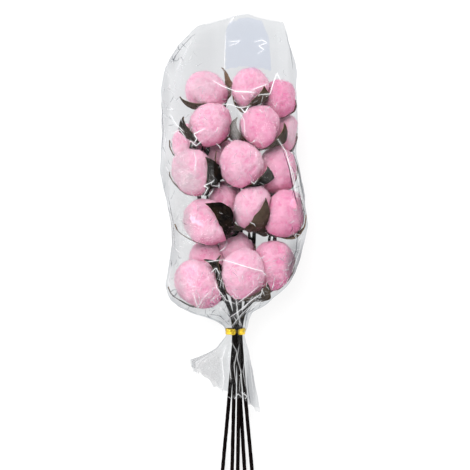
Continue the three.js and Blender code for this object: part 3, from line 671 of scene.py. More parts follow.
def cotton_material(look):
    shader = Shader("dyed_cotton")
    fluff = shader.noise(420, 5, roughness=0.7)
    patches = shader.noise(38, 3)
    hollow = shader.attribute("hollow")
    dye = shader.attribute("dye")
    # Depth of pink: random patches and each head's dye, with painted shade in the hollows and on the shaded
    # side
    depth = shader.ramp(patches, 0.38, 0.66, 0, 0.17)
    depth = shader.math("ADD", depth, shader.math("MULTIPLY", dye, 0.48))
    # Painted shade: deeper pink in the hollows between lumps
    depth = shader.math("ADD", depth, shader.math("MULTIPLY", hollow, 0.4))
    # Painted shade: deeper pink on the side away from the key light
    depth = shader.math("ADD", depth, shader.math("MULTIPLY", shader.attribute("low"), 1.05))
    depth = shader.math("ADD", depth, shader.ramp(fluff, 0.3, 0.7, 0, 0.09))
    base = shader.mix(depth, colour(look.light), colour(look.deep))
    pale = shader.ramp(shader.attribute("fibre"), 0.3, 1, 0, 0.8)
    base = shader.mix(pale, base, colour(look.fibre))
    normal = shader.bump(fluff, 1.6 * MM, 1.0)
    return shader.surface({
        "Base Color": base,
        "Roughness": 1.0,
        "Specular IOR Level": 0.1,
        "Subsurface Weight": 0.12,
        "Subsurface Radius": (1.0, 0.35, 0.5),
        "Subsurface Scale": look.glow_depth,
        "Sheen Weight": 0.5,
        "Sheen Roughness": 0.5,
        "Sheen Tint": colour(look.fibre),
        "Normal": normal,
    })


def burr_material(look):
    shader = Shader("dry_husk")
    inner = shader.ramp(shader.attribute("inner"), 0.35, 0.65)
    along = shader.attribute("rib")
    grain = shader.noise(260, 6, roughness=0.7)
    blotch = shader.noise(90, 3)
    outside = shader.mix(shader.ramp(blotch, 0.4, 0.66), colour(look.outside), colour(look.outside_warm))
    outside = shader.mix(shader.ramp(grain, 0.52, 0.78, 0, 0.6), outside, colour(look.dust))
    worn = shader.math("MULTIPLY", shader.attribute("worn"), shader.ramp(blotch, 0.3, 0.6, 0.35, 1))
    outside = shader.mix(worn, outside, colour(look.worn))
    inside = shader.mix(shader.ramp(grain, 0.3, 0.7), colour(look.inside), colour(look.inside_dark))
    base = shader.mix(inner, outside, inside)
    ribs = shader.add("ShaderNodeMath", {0: along, 1: 9 * math.pi}, operation="MULTIPLY").outputs[0]
    ribs = shader.add("ShaderNodeMath", {0: ribs}, operation="COSINE").outputs[0]
    normal = shader.bump(ribs, 0.12 * MM, 0.6)
    normal = shader.bump(grain, 0.5 * MM, 0.8, normal)
    return shader.surface({
        "Base Color": base,
        "Roughness": shader.ramp(grain, 0.3, 0.7, 0.38, 0.62),
        "Specular IOR Level": 0.0,
        "Normal": normal,
    })


def stem_material(look):
    shader = Shader("dark_bark")
    place = shader.place()
    stretched = shader.add("ShaderNodeMapping", {"Vector": place, "Scale": (1, 0.12, 1)}).outputs[0]
    streaks = shader.noise(900, 4, stretched)
    patches = shader.noise(120, 3, place)
    base = shader.mix(shader.ramp(streaks, 0.45, 0.75), colour(look.bark), colour(look.streak))
    base = shader.mix(shader.ramp(patches, 0.5, 0.8, 0, 0.5), base, colour(look.worn))
    normal = shader.bump(streaks, 0.25 * MM, 0.8)
    return shader.surface({
        "Base Color": base,
        "Roughness": shader.ramp(streaks, 0.3, 0.7, 0.45, 0.7),
        "Specular IOR Level": 0.0,
        "Normal": normal,
    })


def film_material(look):
    shader = Shader("clear_film")
    place = shader.place()
    crumple = shader.attribute("crumple")
    crinkle = shader.noise(130, 5, place, roughness=0.6)
    fine = shader.noise(480, 4, place)
    normal = shader.bump(crinkle, 2.2 * MM, shader.ramp(crumple, 0, 1, 0.25, 1))
    normal = shader.bump(fine, 0.35 * MM, 0.45, normal)
    edge = shader.add("ShaderNodeLayerWeight", {"Blend": 0.3, "Normal": normal}).outputs["Facing"]
    clear = shader.mix(shader.ramp(edge, 0.35, 1.0), colour(look.clear), colour(look.edge))
    clear = shader.mix(shader.attribute("double"), clear, colour(look.double), "MULTIPLY")
    # Painted shade: less light let through on the dark folds and grey places
    clear = shader.mix(shader.attribute("shade"), clear, colour(look.shade), "MULTIPLY")
    through = shader.add("ShaderNodeBsdfTransparent", {"Color": clear}).outputs[0]
    milk = shader.add("ShaderNodeBsdfDiffuse", {"Color": colour(look.milk), "Normal": normal}).outputs[0]
    shine = shader.add(
        "ShaderNodeBsdfGlossy", {"Color": (1, 1, 1, 1), "Roughness": look.roughness, "Normal": normal}
    )
    haze = shader.math("MULTIPLY", shader.attribute("haze"), shader.ramp(crinkle, 0.3, 0.7, 0.6, 1.2))
    body = shader.add("ShaderNodeMixShader", {0: haze, 1: through, 2: milk}).outputs[0]
    # Painted highlight: white mixed in on the folds' crests
    crest = shader.add("ShaderNodeBsdfDiffuse", {"Color": colour(look.crest), "Normal": normal}).outputs[0]
    body = shader.add("ShaderNodeMixShader", {0: shader.attribute("glint"), 1: body, 2: crest}).outputs[0]
    gloss = shader.add("ShaderNodeFresnel", {"IOR": 1.5, "Normal": normal}).outputs[0]
    gloss = shader.math("MINIMUM", gloss, look.gloss)
    surface = shader.add("ShaderNodeMixShader", {0: gloss, 1: body, 2: shine.outputs[0]}).outputs[0]
    return shader.output(surface)


def foil_material(look):
    shader = Shader("gold_foil")
    creases = shader.noise(500, 4, roughness=0.7)
    tone = shader.mix(shader.ramp(creases, 0.4, 0.6), colour(look.gold), colour(look.deep_gold))
    # Painted shade in the twist
    tone = shader.mix(shader.attribute("knot"), tone, colour(look.knot))
    return shader.surface({
        "Base Color": tone,
        "Metallic": 0.85,
        "Roughness": shader.ramp(creases, 0.3, 0.7, 0.2, 0.4),
        "Normal": shader.bump(creases, 0.5 * MM, 0.7),
    })


def floor_material(look):
    shader = Shader("pale_floor")
    tone = shader.mix(shader.noise(6, 2), colour(look.floor), colour([c * 0.995 for c in look.floor]))
    return shader.surface({
        "Base Color": tone,
        "Roughness": 0.95,
        "Specular IOR Level": 0.0,
        "Emission Color": (1, 1, 1, 1),
        "Emission Strength": look.floor_glow,
    })


# Sizes and colours that a user would change


def tint(name, description, default):
    return FloatVectorProperty(name=name, description=description, subtype="COLOR", default=default)


def measure(name, description, millimetres):
    return FloatProperty(name=name, description=description, unit="LENGTH", default=millimetres * MM)


def amount(name, description, default):
    return FloatProperty(name=name, description=description, default=default)


def count_of(name, description, default):
    return IntProperty(name=name, description=description, default=default)


class StageLook(bpy.types.PropertyGroup):
    floor: tint("Floor", "Colour of the floor", (0.2, 0.2, 0.2))
    floor_glow: amount("Floor glow", "Light that the floor gives off", 0.8)
    key_power: amount("Key light", "Strength of the soft light from the upper left", 2.9)
    key_angle: FloatProperty(
        name="Key size", description="Width of the soft light", subtype="ANGLE", default=0.9
    )
    side_power: FloatProperty(
        name="Side lights", description="Power of each strip light", subtype="POWER", default=3.0
    )
    sky: amount("Surround", "Strength of the light from the sides", 1.15)
    overhead: amount("Overhead", "Strength of the light from overhead", 0.12)


class CottonLook(bpy.types.PropertyGroup):
    light: tint("Light pink", "Colour of the raised lint", (0.92, 0.63, 0.73))
    # Deep pink: the dye's colour, and also the painted shade in the hollows and on the shaded side
    deep: tint("Deep pink", "Colour of the hollows", (0.84, 0.2, 0.42))
    fibre: tint("Fibre pink", "Colour of the loose fibres", (0.93, 0.74, 0.81))
    fibres: count_of("Fibres", "Long fibres on each head", 1000)
    fuzz: count_of("Fuzz", "Short fibres on each head", 4600)
    fibre_length: measure("Fibre length", "Length of the longest fibres", 6.5)
    fibre_width: measure("Fibre width", "Width of a fibre at its root", 0.17)
    lobe_height: measure("Lobe height", "Height of the broad lobes", 3.6)
    lump_height: measure("Lump height", "Height of the soft lumps", 1.4)
    glow_depth: measure("Glow depth", "How far light spreads in the lint", 4)


class BurrLook(bpy.types.PropertyGroup):
    outside: tint("Outside", "Colour of the husk's outer face", (0.004, 0.003, 0.003))
    outside_warm: tint("Outside, warm", "Colour of its brown patches", (0.017, 0.01, 0.006))
    worn: tint("Worn husk", "Colour of a weathered husk", (0.1, 0.07, 0.05))
    dust: tint("Dust", "Colour of its pale specks", (0.06, 0.046, 0.033))
    inside: tint("Inside", "Colour of the inner face", (0.30, 0.21, 0.125))
    inside_dark: tint("Inside, dark", "Colour of its dark grain", (0.075, 0.042, 0.024))


class StemLook(bpy.types.PropertyGroup):
    bark: tint("Bark", "Colour of the stems", (0.003, 0.002, 0.002))
    streak: tint("Streaks", "Colour of the bark's ridges", (0.007, 0.005, 0.005))
    worn: tint("Worn bark", "Colour of worn places", (0.012, 0.008, 0.007))


class FilmLook(bpy.types.PropertyGroup):
    clear: tint("Clear", "Light let through face on", (0.86, 0.868, 0.875))
    edge: tint("Edge", "Light let through edge on", (0.8, 0.815, 0.83))
    double: tint("Double", "Tint where the film lies double", (0.88, 0.91, 0.985))
    milk: tint("Milk", "Colour of hazy film", (0.38, 0.375, 0.38))
    # Painted highlight colour of the folds' crests
    crest: tint("Crests", "Colour of the folds' crests", (0.97, 0.97, 0.98))
    # Painted shade colour of the dark folds and grey places
    shade: tint("Shade", "Light let through the dark folds", (0.42, 0.42, 0.44))
    gloss: amount("Gloss", "Largest share of the light that it mirrors", 0.022)
    roughness: amount("Roughness", "Softness of the reflections", 0.12)
    around: count_of("Points around", "Points round the sleeve", 300)
    along: count_of("Points along", "Points along the sleeve", 285)
    crinkle_height: measure("Crinkles", "Height of the crinkles", 1.1)


class TieLook(bpy.types.PropertyGroup):
    gold: tint("Gold", "Colour of the foil", (0.95, 0.68, 0.06))
    deep_gold: tint("Deep gold", "Colour in its creases", (0.6, 0.38, 0.02))
    # Painted shade colour of the twist
    knot: tint("Knot", "Colour in the twist", (0.06, 0.04, 0.01))
    pinch_width: measure("Pinch", "Half width of the gathered stretch", 3)


LOOKS = {
    "bunch_stage": StageLook,
    "bunch_cotton": CottonLook,
    "bunch_burr": BurrLook,
    "bunch_stem": StemLook,
    "bunch_film": FilmLook,
    "bunch_tie": TieLook,
}


# Stage

# Heights on the unit sphere up to which the surround is bright and from which it is dim
SIDES_UP_TO, OVERHEAD_FROM = 0.72, 0.92

# The lights' places, the point that they shine on, and the strips' sizes
LIT_POINT = (0, 0, 50 * MM)
KEY_PLACE = (-0.6, 0.7, 1.3)
LEFT_STRIP_PLACE, LEFT_STRIP_SIZE = (-0.95, -0.1, 0.8), (0.1, 0.9)
RIGHT_STRIP_PLACE, RIGHT_STRIP_SIZE = (0.8, 0.3, 0.95), (0.08, 0.8)

# The camera's sensor in millimetres and nearest distance, and the floor's side
SENSOR_WIDTH = 36
NEAREST = 0.05
FLOOR_SIDE = 6


def add_light(name, kind, location, target, power):
    data = bpy.data.lights.new(name, kind)
    data.energy = power
    obj = bpy.data.objects.new(name, data)
    obj.location = location
    obj.rotation_euler = (Vector(target) - Vector(location)).to_track_quat("-Z", "Y").to_euler()
    bpy.context.scene.collection.objects.link(obj)
    return obj


def add_strip(name, location, target, size, power):
    strip = add_light(name, "AREA", location, target, power)
    strip.data.shape = "RECTANGLE"
    strip.data.size, strip.data.size_y = size


def surround(look):
    """Light from all sides, dim overhead, so that the film's upper faces mirror little."""
    world = bpy.data.worlds.new("surround")
    world.use_nodes = True
    tree = world.node_tree
    place = tree.nodes.new("ShaderNodeTexCoord")
    split = tree.nodes.new("ShaderNodeSeparateXYZ")
    ramp = tree.nodes.new("ShaderNodeMapRange")
    ramp.inputs["From Min"].default_value = SIDES_UP_TO
    ramp.inputs["From Max"].default_value = OVERHEAD_FROM
    ramp.inputs["To Min"].default_value = look.sky
    ramp.inputs["To Max"].default_value = look.overhead
    tree.links.new(place.outputs["Generated"], split.inputs[0])
    tree.links.new(split.outputs["Z"], ramp.inputs["Value"])
    tree.links.new(ramp.outputs["Result"], tree.nodes["Background"].inputs["Strength"])
    tree.nodes["Background"].inputs["Color"].default_value = (1, 1, 1, 1)
    return world


class BUNCH_OT_stage(bpy.types.Operator):
    """Make the camera, the lights and the floor"""

    bl_idname = "bunch.stage"
    bl_label = "Stage"

    def execute(self, context):
        look = context.scene.bunch_stage
        centre_x, centre_y = to_plan(PHOTO_SIDE / 2, PHOTO_SIDE / 2)
        camera = bpy.data.cameras.new("camera")
        width = PHOTO_SIDE * PIXEL_SIZE * MM
        camera.sensor_width = SENSOR_WIDTH
        camera.lens = camera.sensor_width * CAMERA_HEIGHT / width
        camera.clip_start = NEAREST
        viewer = bpy.data.objects.new("camera", camera)
        viewer.location = (centre_x, centre_y, SCALE_HEIGHT + CAMERA_HEIGHT)
        context.scene.collection.objects.link(viewer)
        context.scene.camera = viewer

        context.scene.world = surround(look)
        context.scene.view_settings.view_transform = "Standard"
        key = add_light("key", "SUN", KEY_PLACE, LIT_POINT, look.key_power)
        key.data.angle = look.key_angle
        key.visible_glossy = False
        add_strip("left_strip", LEFT_STRIP_PLACE, LIT_POINT, LEFT_STRIP_SIZE, look.side_power)
        add_strip("right_strip", RIGHT_STRIP_PLACE, LIT_POINT, RIGHT_STRIP_SIZE, look.side_power)

        bpy.ops.mesh.primitive_plane_add(size=FLOOR_SIDE)
        floor = context.object
        floor.name = "floor"
        floor.data.materials.append(floor_material(look))
        return {"FINISHED"}


# Cotton heads


def axes_of(boll):
    """The boll's axis, the direction across it towards its upper side, and the direction sideways."""
    heading, rise = math.radians(boll.heading), math.radians(boll.rise)
    axis = Vector((math.sin(heading) * math.cos(rise), math.cos(heading) * math.cos(rise), math.sin(rise)))
    upper = (Vector((0, 0, 1)) - axis * axis.z).normalized()
    return axis, upper, axis.cross(upper)


def direction_of(axes, polar, azimuth):
    axis, upper, side = axes
    around = upper * math.cos(azimuth) + side * math.sin(azimuth)
    return axis * math.cos(polar) + around * math.sin(polar)


def hollows_of(obj):
    """How deep each point lies below the surface round it, from 0 to 1."""
    edges = np.empty(len(obj.data.edges) * 2, dtype=np.int32)
    obj.data.edges.foreach_get("vertices", edges)
    a, b = edges.reshape(-1, 2).T
    points = coords(obj)
    eased = points.copy()
    count = np.bincount(a, minlength=len(points)) + np.bincount(b, minlength=len(points))
    for _ in range(EASING_ROUNDS):
        total = np.zeros_like(eased)
        np.add.at(total, a, eased[b])
        np.add.at(total, b, eased[a])
        eased = total / count[:, None]
    height = ((points - eased) * normals(obj)).sum(axis=1)
    return 1 - smooth(height, HOLLOW_LEVEL * MM, RIDGE_LEVEL * MM)


def painted_side_shade_of(obj, boll):
    """How far each point lies towards the head's shaded side, from 0 to 1, for its painted shade."""
    away = coords(obj) - np.array(boll.centre) * MM
    far = away @ np.array(SHADED_SIDE) / (boll.radius * MM)
    return smooth(far, *SHADED_OVER)


def strands(obj, count, length, width, bent, draw):
    """Points and faces of loose fibres that stand on a head's surface and lean over at random."""
    mesh = obj.data
    mesh.calc_loop_triangles()
    corners = np.empty(len(mesh.loop_triangles) * 3, dtype=np.int32)
    mesh.loop_triangles.foreach_get("vertices", corners)
    corners = corners.reshape(-1, 3)
    points, facing = coords(obj), normals(obj)
    tri = points[corners]
    area = np.linalg.norm(np.cross(tri[:, 1] - tri[:, 0], tri[:, 2] - tri[:, 0]), axis=1)
    chosen = draw.choice(len(corners), count, p=area / area.sum())
    weights = draw.dirichlet((1, 1, 1), count)[:, :, None]
    root = (tri[chosen] * weights).sum(axis=1)
    out = (facing[corners[chosen]] * weights).sum(axis=1)
    lean = draw.normal(size=(count, 3))
    lean -= (lean * out).sum(axis=1)[:, None] * out
    lean /= np.linalg.norm(lean, axis=1)[:, None]
    half = np.cross(out, lean) * width / 2
    length = length * draw.uniform(LEAST, 1, count)[:, None]
    steep = draw.uniform(LEAST, 1, count)[:, None]
    base = root - out * ROOT_DEPTH * MM
    middle = root + length * (LOWER_RISE * steep * out + LOWER_LEAN * lean)
    tip = middle + length * (UPPER_RISE * steep * out + UPPER_LEAN * lean)
    if bent:
        narrow = half * MIDDLE_WIDTH
        rows = [base - half, base + half, middle + narrow, middle - narrow, tip]
        shapes = ([0, 1, 2, 3], [3, 2, 4])
    else:
        rows = [base - half, base + half, (middle + tip) / 2]
        shapes = ([0, 1, 2],)
    first = np.arange(count)[:, None] * len(rows)
    faces = [face for shape in shapes for face in (first + np.array(shape)).tolist()]
    return np.stack(rows, axis=1).reshape(-1, 3), faces


def add_strands(obj, look, seed):
    """Joins long bent fibres and a short, dense fuzz to a head."""
    draw = np.random.default_rng(seed)
    pieces = [obj]
    for count, length, width, bent in (
        (look.fibres, look.fibre_length, look.fibre_width, True),
        (look.fuzz, look.fibre_length * FUZZ_LENGTH, look.fibre_width * FUZZ_WIDTH, False),
    ):
        points, faces = strands(obj, count, length, width, bent, draw)
        mesh = bpy.data.meshes.new("strands")
        mesh.from_pydata(points.tolist(), [], faces)
        piece = bpy.data.objects.new("strands", mesh)
        bpy.context.scene.collection.objects.link(piece)
        tone = np.repeat(draw.uniform(0, 1, count), len(points) // count)
        store(piece, "fibre", tone)
        store(piece, "hollow", 0)
        pieces.append(piece)
    return join(pieces, obj.name)


class BUNCH_OT_cotton(bpy.types.Operator):
    """Make the cotton heads from their solids, with soft lumps and loose fibres"""

    bl_idname = "bunch.cotton"
    bl_label = "Cotton heads"

    def execute(self, context):
        look = context.scene.bunch_cotton
        material = cotton_material(look)
        for number, boll in enumerate(BOLLS, 1):
            head = copy_of(f"cotton_{number:02d}", f"lint_{number:02d}")
            subdivide(head, 3)
            swell(head, HEAD_FLUFF * MM)
            roughen(head, LOBE_SIZE * MM, look.lobe_height)
            roughen(head, LUMP_SIZE * MM, look.lump_height)
            roughen(head, GRAIN_SIZE * MM, look.lump_height * GRAIN_SHARE)
            # The hollows are painted deeper pink as shade
            store(head, "hollow", hollows_of(head))
            store(head, "fibre", 0)
            store(head, "lint", 1)
            head = add_strands(head, look, number)
            store(head, "dye", boll.dye)
            # Painted shade on the side of the head away from the key light
            store(head, "low", painted_side_shade_of(head, boll))
            finish_piece(head, material, "cotton", f"cotton_{number:02d}")
        return {"FINISHED"}


# Burrs


def surface_of(names):
    """A search tree over the surfaces of several pieces."""
    points, faces = [], []
    for name in names:
        mesh = bpy.data.objects[name].data
        mesh.calc_loop_triangles()
        lint = np.empty(len(mesh.vertices), dtype=np.float32)
        mesh.attributes["lint"].data.foreach_get("value", lint)
        start = len(points)
        points += [v.co.copy() for v in mesh.vertices]
        faces += [[start + i for i in t.vertices] for t in mesh.loop_triangles if lint[t.vertices[0]] > 0.5]
    return BVHTree.FromPolygons(points, faces)


def valve_outline(along):
    """Half the width of a valve, as a share of its widest: egg-shaped, with a drawn-out tip."""
    if along < VALVE_WIDEST_AT:
        return lerp(VALVE_ROOT_WIDTH, 1, math.sin(along / VALVE_WIDEST_AT * math.pi / 2))
    past = min((along - VALVE_WIDEST_AT) / (1 - VALVE_WIDEST_AT), 0.9999)
    return (1 - past**VALVE_EGG) ** VALVE_POINT


class BurrMaker:
    """Shapes the burr of one boll round its head."""

    def __init__(self, number, boll, own, others):
        self.number = number
        self.boll = boll
        self.own = own
        self.others = others
        self.axes = axes_of(boll)
        self.centre = Vector(boll.centre) * MM

    def reach(self, direction):
        """How far the cotton reaches in a direction."""
        far = REACH_LENGTH * MM
        hit = self.own.ray_cast(self.centre + direction * far, -direction, far)
        return (hit[0] - self.centre).length if hit[0] else self.boll.radius * MM

    def room(self, direction, reach):
        """How far a valve may reach before it meets a neighbouring head."""
        start = self.centre + direction * (reach + LOOK_START * MM)
        hit = self.others.ray_cast(start, direction, ROOM_LENGTH * MM)
        return (hit[0] - self.centre).length - NEIGHBOUR_GAP * MM if hit[0] else 1.0

    def base_reach(self):
        return self.boll.radius * MM * HEAD_STRETCH * (1 - HEAD_WAIST)

    def valve_point(self, valve, across, along):
        polar = math.radians(lerp(VALVE_ROOT_POLAR, valve.tip, along))
        middle = math.radians(valve.turn)
        half = valve.width / 2 * MM * valve_outline(along)
        spot = Vector((along * WAVES_ALONG, across * WAVES_ACROSS, self.number + valve.turn))
        half *= 1 + VALVE_WAVE * noise.noise(spot)
        twist = math.radians(valve.twist) * float(smooth(along, *TWIST_OVER))
        centre_reach = self.reach(direction_of(self.axes, polar, middle))
        turn_radius = max(centre_reach * math.sin(polar), TURN_LEAST * MM)
        spread = half * math.cos(twist) / turn_radius
        direction = direction_of(self.axes, polar, middle + across * spread)
        if along < ROOTED_UP_TO:
            return self.centre + direction * (self.base_reach() + (CUP_GAP + VALVE_ROOT_LIFT) * MM)
        cotton = max(self.reach(direction), centre_reach * DIP_SHARE)
        raised = half * (abs(math.sin(twist)) + across * math.sin(twist))
        lean = valve.lift * MM * float(smooth(along, *LEAN_OVER)) ** LEAN_POWER
        hook = valve.hook * MM * float(smooth(along, *HOOK_OVER))
        roll = VALVE_ROLL * MM * across * across * float(smooth(along, *ROLL_OVER))
        reach = cotton + VALVE_GAP * MM + lean + hook + roll + raised
        room = max(self.room(direction, cotton), cotton + OWN_GAP * MM)
        return self.centre + direction * min(reach, room)

    def valve(self, valve):
        def place(across, along):
            return np.array([self.valve_point(valve, a, s) for a, s in zip(across, along)])

        blade = grid("valve", VALVE_COLUMNS, VALVE_ROWS, place)
        middle = len(blade.data.polygons) // 2
        face = blade.data.polygons[middle]
        if face.normal.dot(face.center - self.centre) < 0:
            edit(blade, bpy.ops.mesh.flip_normals)
        count = len(blade.data.vertices)
        rib = np.abs(np.linspace(-1, 1, VALVE_COLUMNS + 1))
        modify(blade, "SOLIDIFY", thickness=VALVE_THICKNESS * MM, offset=-1)
        inner = np.zeros(len(blade.data.vertices))
        inner[count:] = 1
        store(blade, "inner", inner)
        store(blade, "rib", np.resize(rib, len(inner)))
        return blade

    def cup(self):
        axis, upper, side = self.axes
        foot = self.centre - axis * (self.base_reach() + (CUP_GAP + CUP_HEIGHT) * MM)

        def place(across, along):
            points = []
            for a, s in zip(across, along):
                radius = np.interp(s, CUP_STEPS, CUP_RADII)
                height = np.interp(s, CUP_STEPS, CUP_RISES)
                angle = math.pi * a
                radius *= 1 + CUP_WAVE * math.cos(CUP_LOBES * angle)
                around = upper * math.cos(angle) + side * math.sin(angle)
                points.append(foot + (axis * height + around * radius) * MM)
            return np.array(points)

        cup = grid("cup", CUP_COLUMNS, CUP_ROWS, place)
        edit(cup, merge_points, turn_out)
        store(cup, "inner", 0)
        store(cup, "rib", 0)
        return cup

    def make(self, material):
        parts = [self.cup()] + [self.valve(valve) for valve in self.boll.valves]
        burr = join(parts, f"husk_{self.number:02d}")
        store(burr, "worn", WORN.get(self.number, 0))
        finish_piece(burr, material, "burr", f"burr_{self.number:02d}")


class BUNCH_OT_burrs(bpy.types.Operator):
    """Make the burrs, each a small cup with pointed valves round its head"""

    bl_idname = "bunch.burrs"
    bl_label = "Burrs"

    def execute(self, context):
        material = burr_material(context.scene.bunch_burr)
        names = [f"lint_{number:02d}" for number in range(1, len(BOLLS) + 1)]
        for number, boll in enumerate(BOLLS, 1):
            own = surface_of([names[number - 1]])
            near = [
                name
                for name, other in zip(names, BOLLS)
                if other is not boll and math.dist(other.centre, boll.centre) < NEIGHBOUR_DISTANCE
            ]
            BurrMaker(number, boll, own, surface_of(near)).make(material)
        return {"FINISHED"}


# Stems


class BUNCH_OT_stems(bpy.types.Operator):
    """Make the stems from their solids, rounded and with fine bark"""

    bl_idname = "bunch.stems"
    bl_label = "Stems"

    def execute(self, context):
        material = stem_material(context.scene.bunch_stem)
        for number in range(1, STEMS + 1):
            stem = copy_of(f"stem_{number}", f"twig_{number}")
            subdivide(stem, 2)
            swell(stem, STEM_SWELL * MM)
            roughen(stem, BARK_SIZE * MM, BARK_HEIGHT * MM)
            finish_piece(stem, material, "stem", f"stem_{number}")
        return {"FINISHED"}


# Film sleeve


def edge_at(points, y):
    """The X of an outline at each Y, in metres."""
    plan = np.array([to_plan(u, v) for u, v in points])
    order = np.argsort(plan[:, 1])
    return np.interp(y, plan[order, 1], plan[order, 0])


def level_at(column, y):
    table = np.array(FILM_LEVELS) * MM
    return np.interp(y, table[:, 0], table[:, column])


def eased(function, table, y):
    """A value by Y, averaged over a short stretch, so that it has no corners."""
    return sum(function(table, y + d * EASED_OVER * MM) for d in (-1, -0.5, 0, 0.5, 1)) / 5


class ContentsHeight:
    """How high the heads, burrs and stems stand at each place, and where film hangs that lies on them."""

    STEP = 1.5 * MM
    REACH = 26
    CELLS = (150, 270)
    CORNER = (-0.11, -0.18)
    EMPTY = -1.0

    def __init__(self, names):
        self.low = np.array(self.CORNER)
        shape = self.CELLS
        self.height = np.full(shape, self.EMPTY)
        for name in names:
            points = coords(bpy.data.objects[name])
            cells = ((points[:, :2] - self.low) / self.STEP).astype(int)
            inside = ((cells >= 0) & (cells < shape)).all(axis=1)
            np.maximum.at(self.height, tuple(cells[inside].T), points[inside, 2])
        self.hanging = self.spread(self.spread(self.height, 0), 1)

    def spread(self, height, axis):
        """The height carried outwards along one axis, falling away from each place in a curve."""
        best = height.copy()
        for step in range(1, self.REACH + 1):
            drop = (step * self.STEP) ** 2 / (2 * FILM_CURVE * MM)
            ahead = (slice(None, -step), slice(step, None))
            for source, target in (ahead, ahead[::-1]):
                part = [slice(None)] * 2
                part[axis] = source
                place = [slice(None)] * 2
                place[axis] = target
                best[tuple(place)] = np.maximum(best[tuple(place)], height[tuple(part)] - drop)
        return best

    def read(self, field, x, y):
        place = (np.stack([x, y], axis=1) - self.low) / self.STEP - 0.5
        cell = np.clip(place.astype(int), 0, np.array(field.shape) - 2)
        s, t = np.clip(place - cell, 0, 1).T
        i, j = cell.T
        lower = lerp(field[i, j], field[i + 1, j], s)
        upper = lerp(field[i, j + 1], field[i + 1, j + 1], s)
        return lerp(lower, upper, t)


def section_place(angle, left, right, low, high):
    """A point of a section at an angle round it: wide and flat below, rounder above."""
    waist = lerp(low, high, WAIST_SHARE)
    sine, cosine = np.sin(angle), np.cos(angle)
    power = np.where(sine < 0, 2 / LOWER_POWER, 2 / UPPER_POWER)
    drop = np.where(low < FLAT_UNDER * MM, FLAT_DROP * MM, 0)
    tall = np.where(sine < 0, waist - low + drop, high - waist)
    x = (left + right) / 2 + (right - left) / 2 * np.sign(cosine) * np.abs(cosine) ** power
    z = waist + tall * np.sign(sine) * np.abs(sine) ** power
    return x, np.maximum(z, low)


def pleated(x, z, left, right, low, high, pleat):
    """A section's points, moved out from its middle or in towards it."""
    middle_x, middle_z = (left + right) / 2, (low + high) / 2
    return middle_x + (x - middle_x) * pleat, middle_z + (z - middle_z) * pleat


def film_angle(across):
    """The angle round the sleeve. Its upper side has more of the points than its underside."""
    share = (across + 1) / 2
    upper = share / UPPER_SHARE
    lower = 1 + (share - UPPER_SHARE) / (1 - UPPER_SHARE)
    return math.pi * np.where(share < UPPER_SHARE, upper, lower)


def waves(angle, rows, wave=np.cos):
    """Several waves round the sleeve, added up."""
    return sum(height * wave(count * angle + shift) for height, count, shift in rows)


def body_place(contents, angle, share):
    """The part of the sleeve that holds the heads, from the closed end to the neck."""
    y = lerp(END_Y * MM, NECK_TOP * MM, share)
    left, right = (eased(edge_at, edge, y) for edge in (LEFT_EDGE, RIGHT_EDGE))
    low, high = (eased(level_at, column, y) for column in (1, 2))
    gathered = 1 - smooth(y, GATHER_TO * MM, GATHER_FROM * MM)
    pleat = 1 + gathered * waves(angle, NECK_PLEATS)
    x, z = section_place(angle, left, right, low, high)
    x, z = pleated(x, z, left, right, low, high, pleat)
    seam = np.array([to_plan(u, v, SEAM_Z * MM) for u, v in CLOSED_END])
    near_seam = 1 - smooth(share, 0, SEAM_TURN)
    y = lerp(y, np.interp(x, seam[:, 0], seam[:, 1]), near_seam)
    z = lerp(z, SEAM_Z * MM, 1 - smooth(share, 0, SEAM_CLOSE))
    hanging = contents.read(contents.hanging, x, y) + FILM_REST * MM
    hanging = np.clip(hanging, z - FILM_SAG * MM, z)
    over = smooth(np.sin(angle), *LAID_OVER) * (1 - gathered)
    return x, y, lerp(z, hanging, over)


def skirt_place(angle, share):
    """The skirt below the neck, pleated and open, with a slanting, ragged mouth."""
    table = np.array(SKIRT)
    left, right, low, high = (np.interp(share, table[:, 0], table[:, k]) * MM for k in range(1, 5))
    pleat = 1 + share * waves(angle, SKIRT_PLEATS) + waves(angle, SKIRT_FOLDS)
    x, z = section_place(angle, left, right, low, high)
    x, z = pleated(x, z, left, right, low, high, pleat)
    ragged = waves(angle, RAGGED_MOUTH, np.sin)
    length = (SKIRT_LENGTH + ragged * share**3) * MM + SKIRT_SLANT * x
    return x, NECK_BOTTOM * MM - share * length, np.maximum(z, SKIRT_CLEARANCE * MM)


def sleeve_place(contents):
    """Places the sleeve's points: share across goes round it, share along goes down to its mouth."""

    def place(across, along):
        angle = film_angle(across)
        body = body_place(contents, angle, np.clip(along / BODY_SHARE, 0, 1))
        skirt = skirt_place(angle, np.clip((along - NECK_SHARE) / (1 - NECK_SHARE), 0, 1))
        past = smooth(along, BODY_SHARE, NECK_SHARE)
        return np.stack([lerp(a, b, past) for a, b in zip(body, skirt)], axis=1)

    return place


def to_pixels(points):
    """Points seen from above, in the photograph's pixels."""
    flat = points[:, :2] / (PIXEL_SIZE * MM) * np.array([1, -1]) + np.array(PIXEL_ORIGIN)
    nearness = 1 + (SCALE_HEIGHT - points[:, 2:]) / CAMERA_HEIGHT
    return (flat - PHOTO_SIDE / 2) / nearness + PHOTO_SIDE / 2


def near_line(pixels, line, width):
    """How near each point is to a line, from 0 at its width to 1 on it, for a width in millimetres."""
    nearest = np.full(len(pixels), 1e9)
    for a, b in zip(line, line[1:]):
        a, b = np.array(a, dtype=float), np.array(b, dtype=float)
        along = np.clip((pixels - a) @ (b - a) / ((b - a) @ (b - a)), 0, 1)
        nearest = np.minimum(nearest, np.linalg.norm(pixels - a - along[:, None] * (b - a), axis=1))
    return np.clip(1 - nearest * PIXEL_SIZE / width, 0, 1)


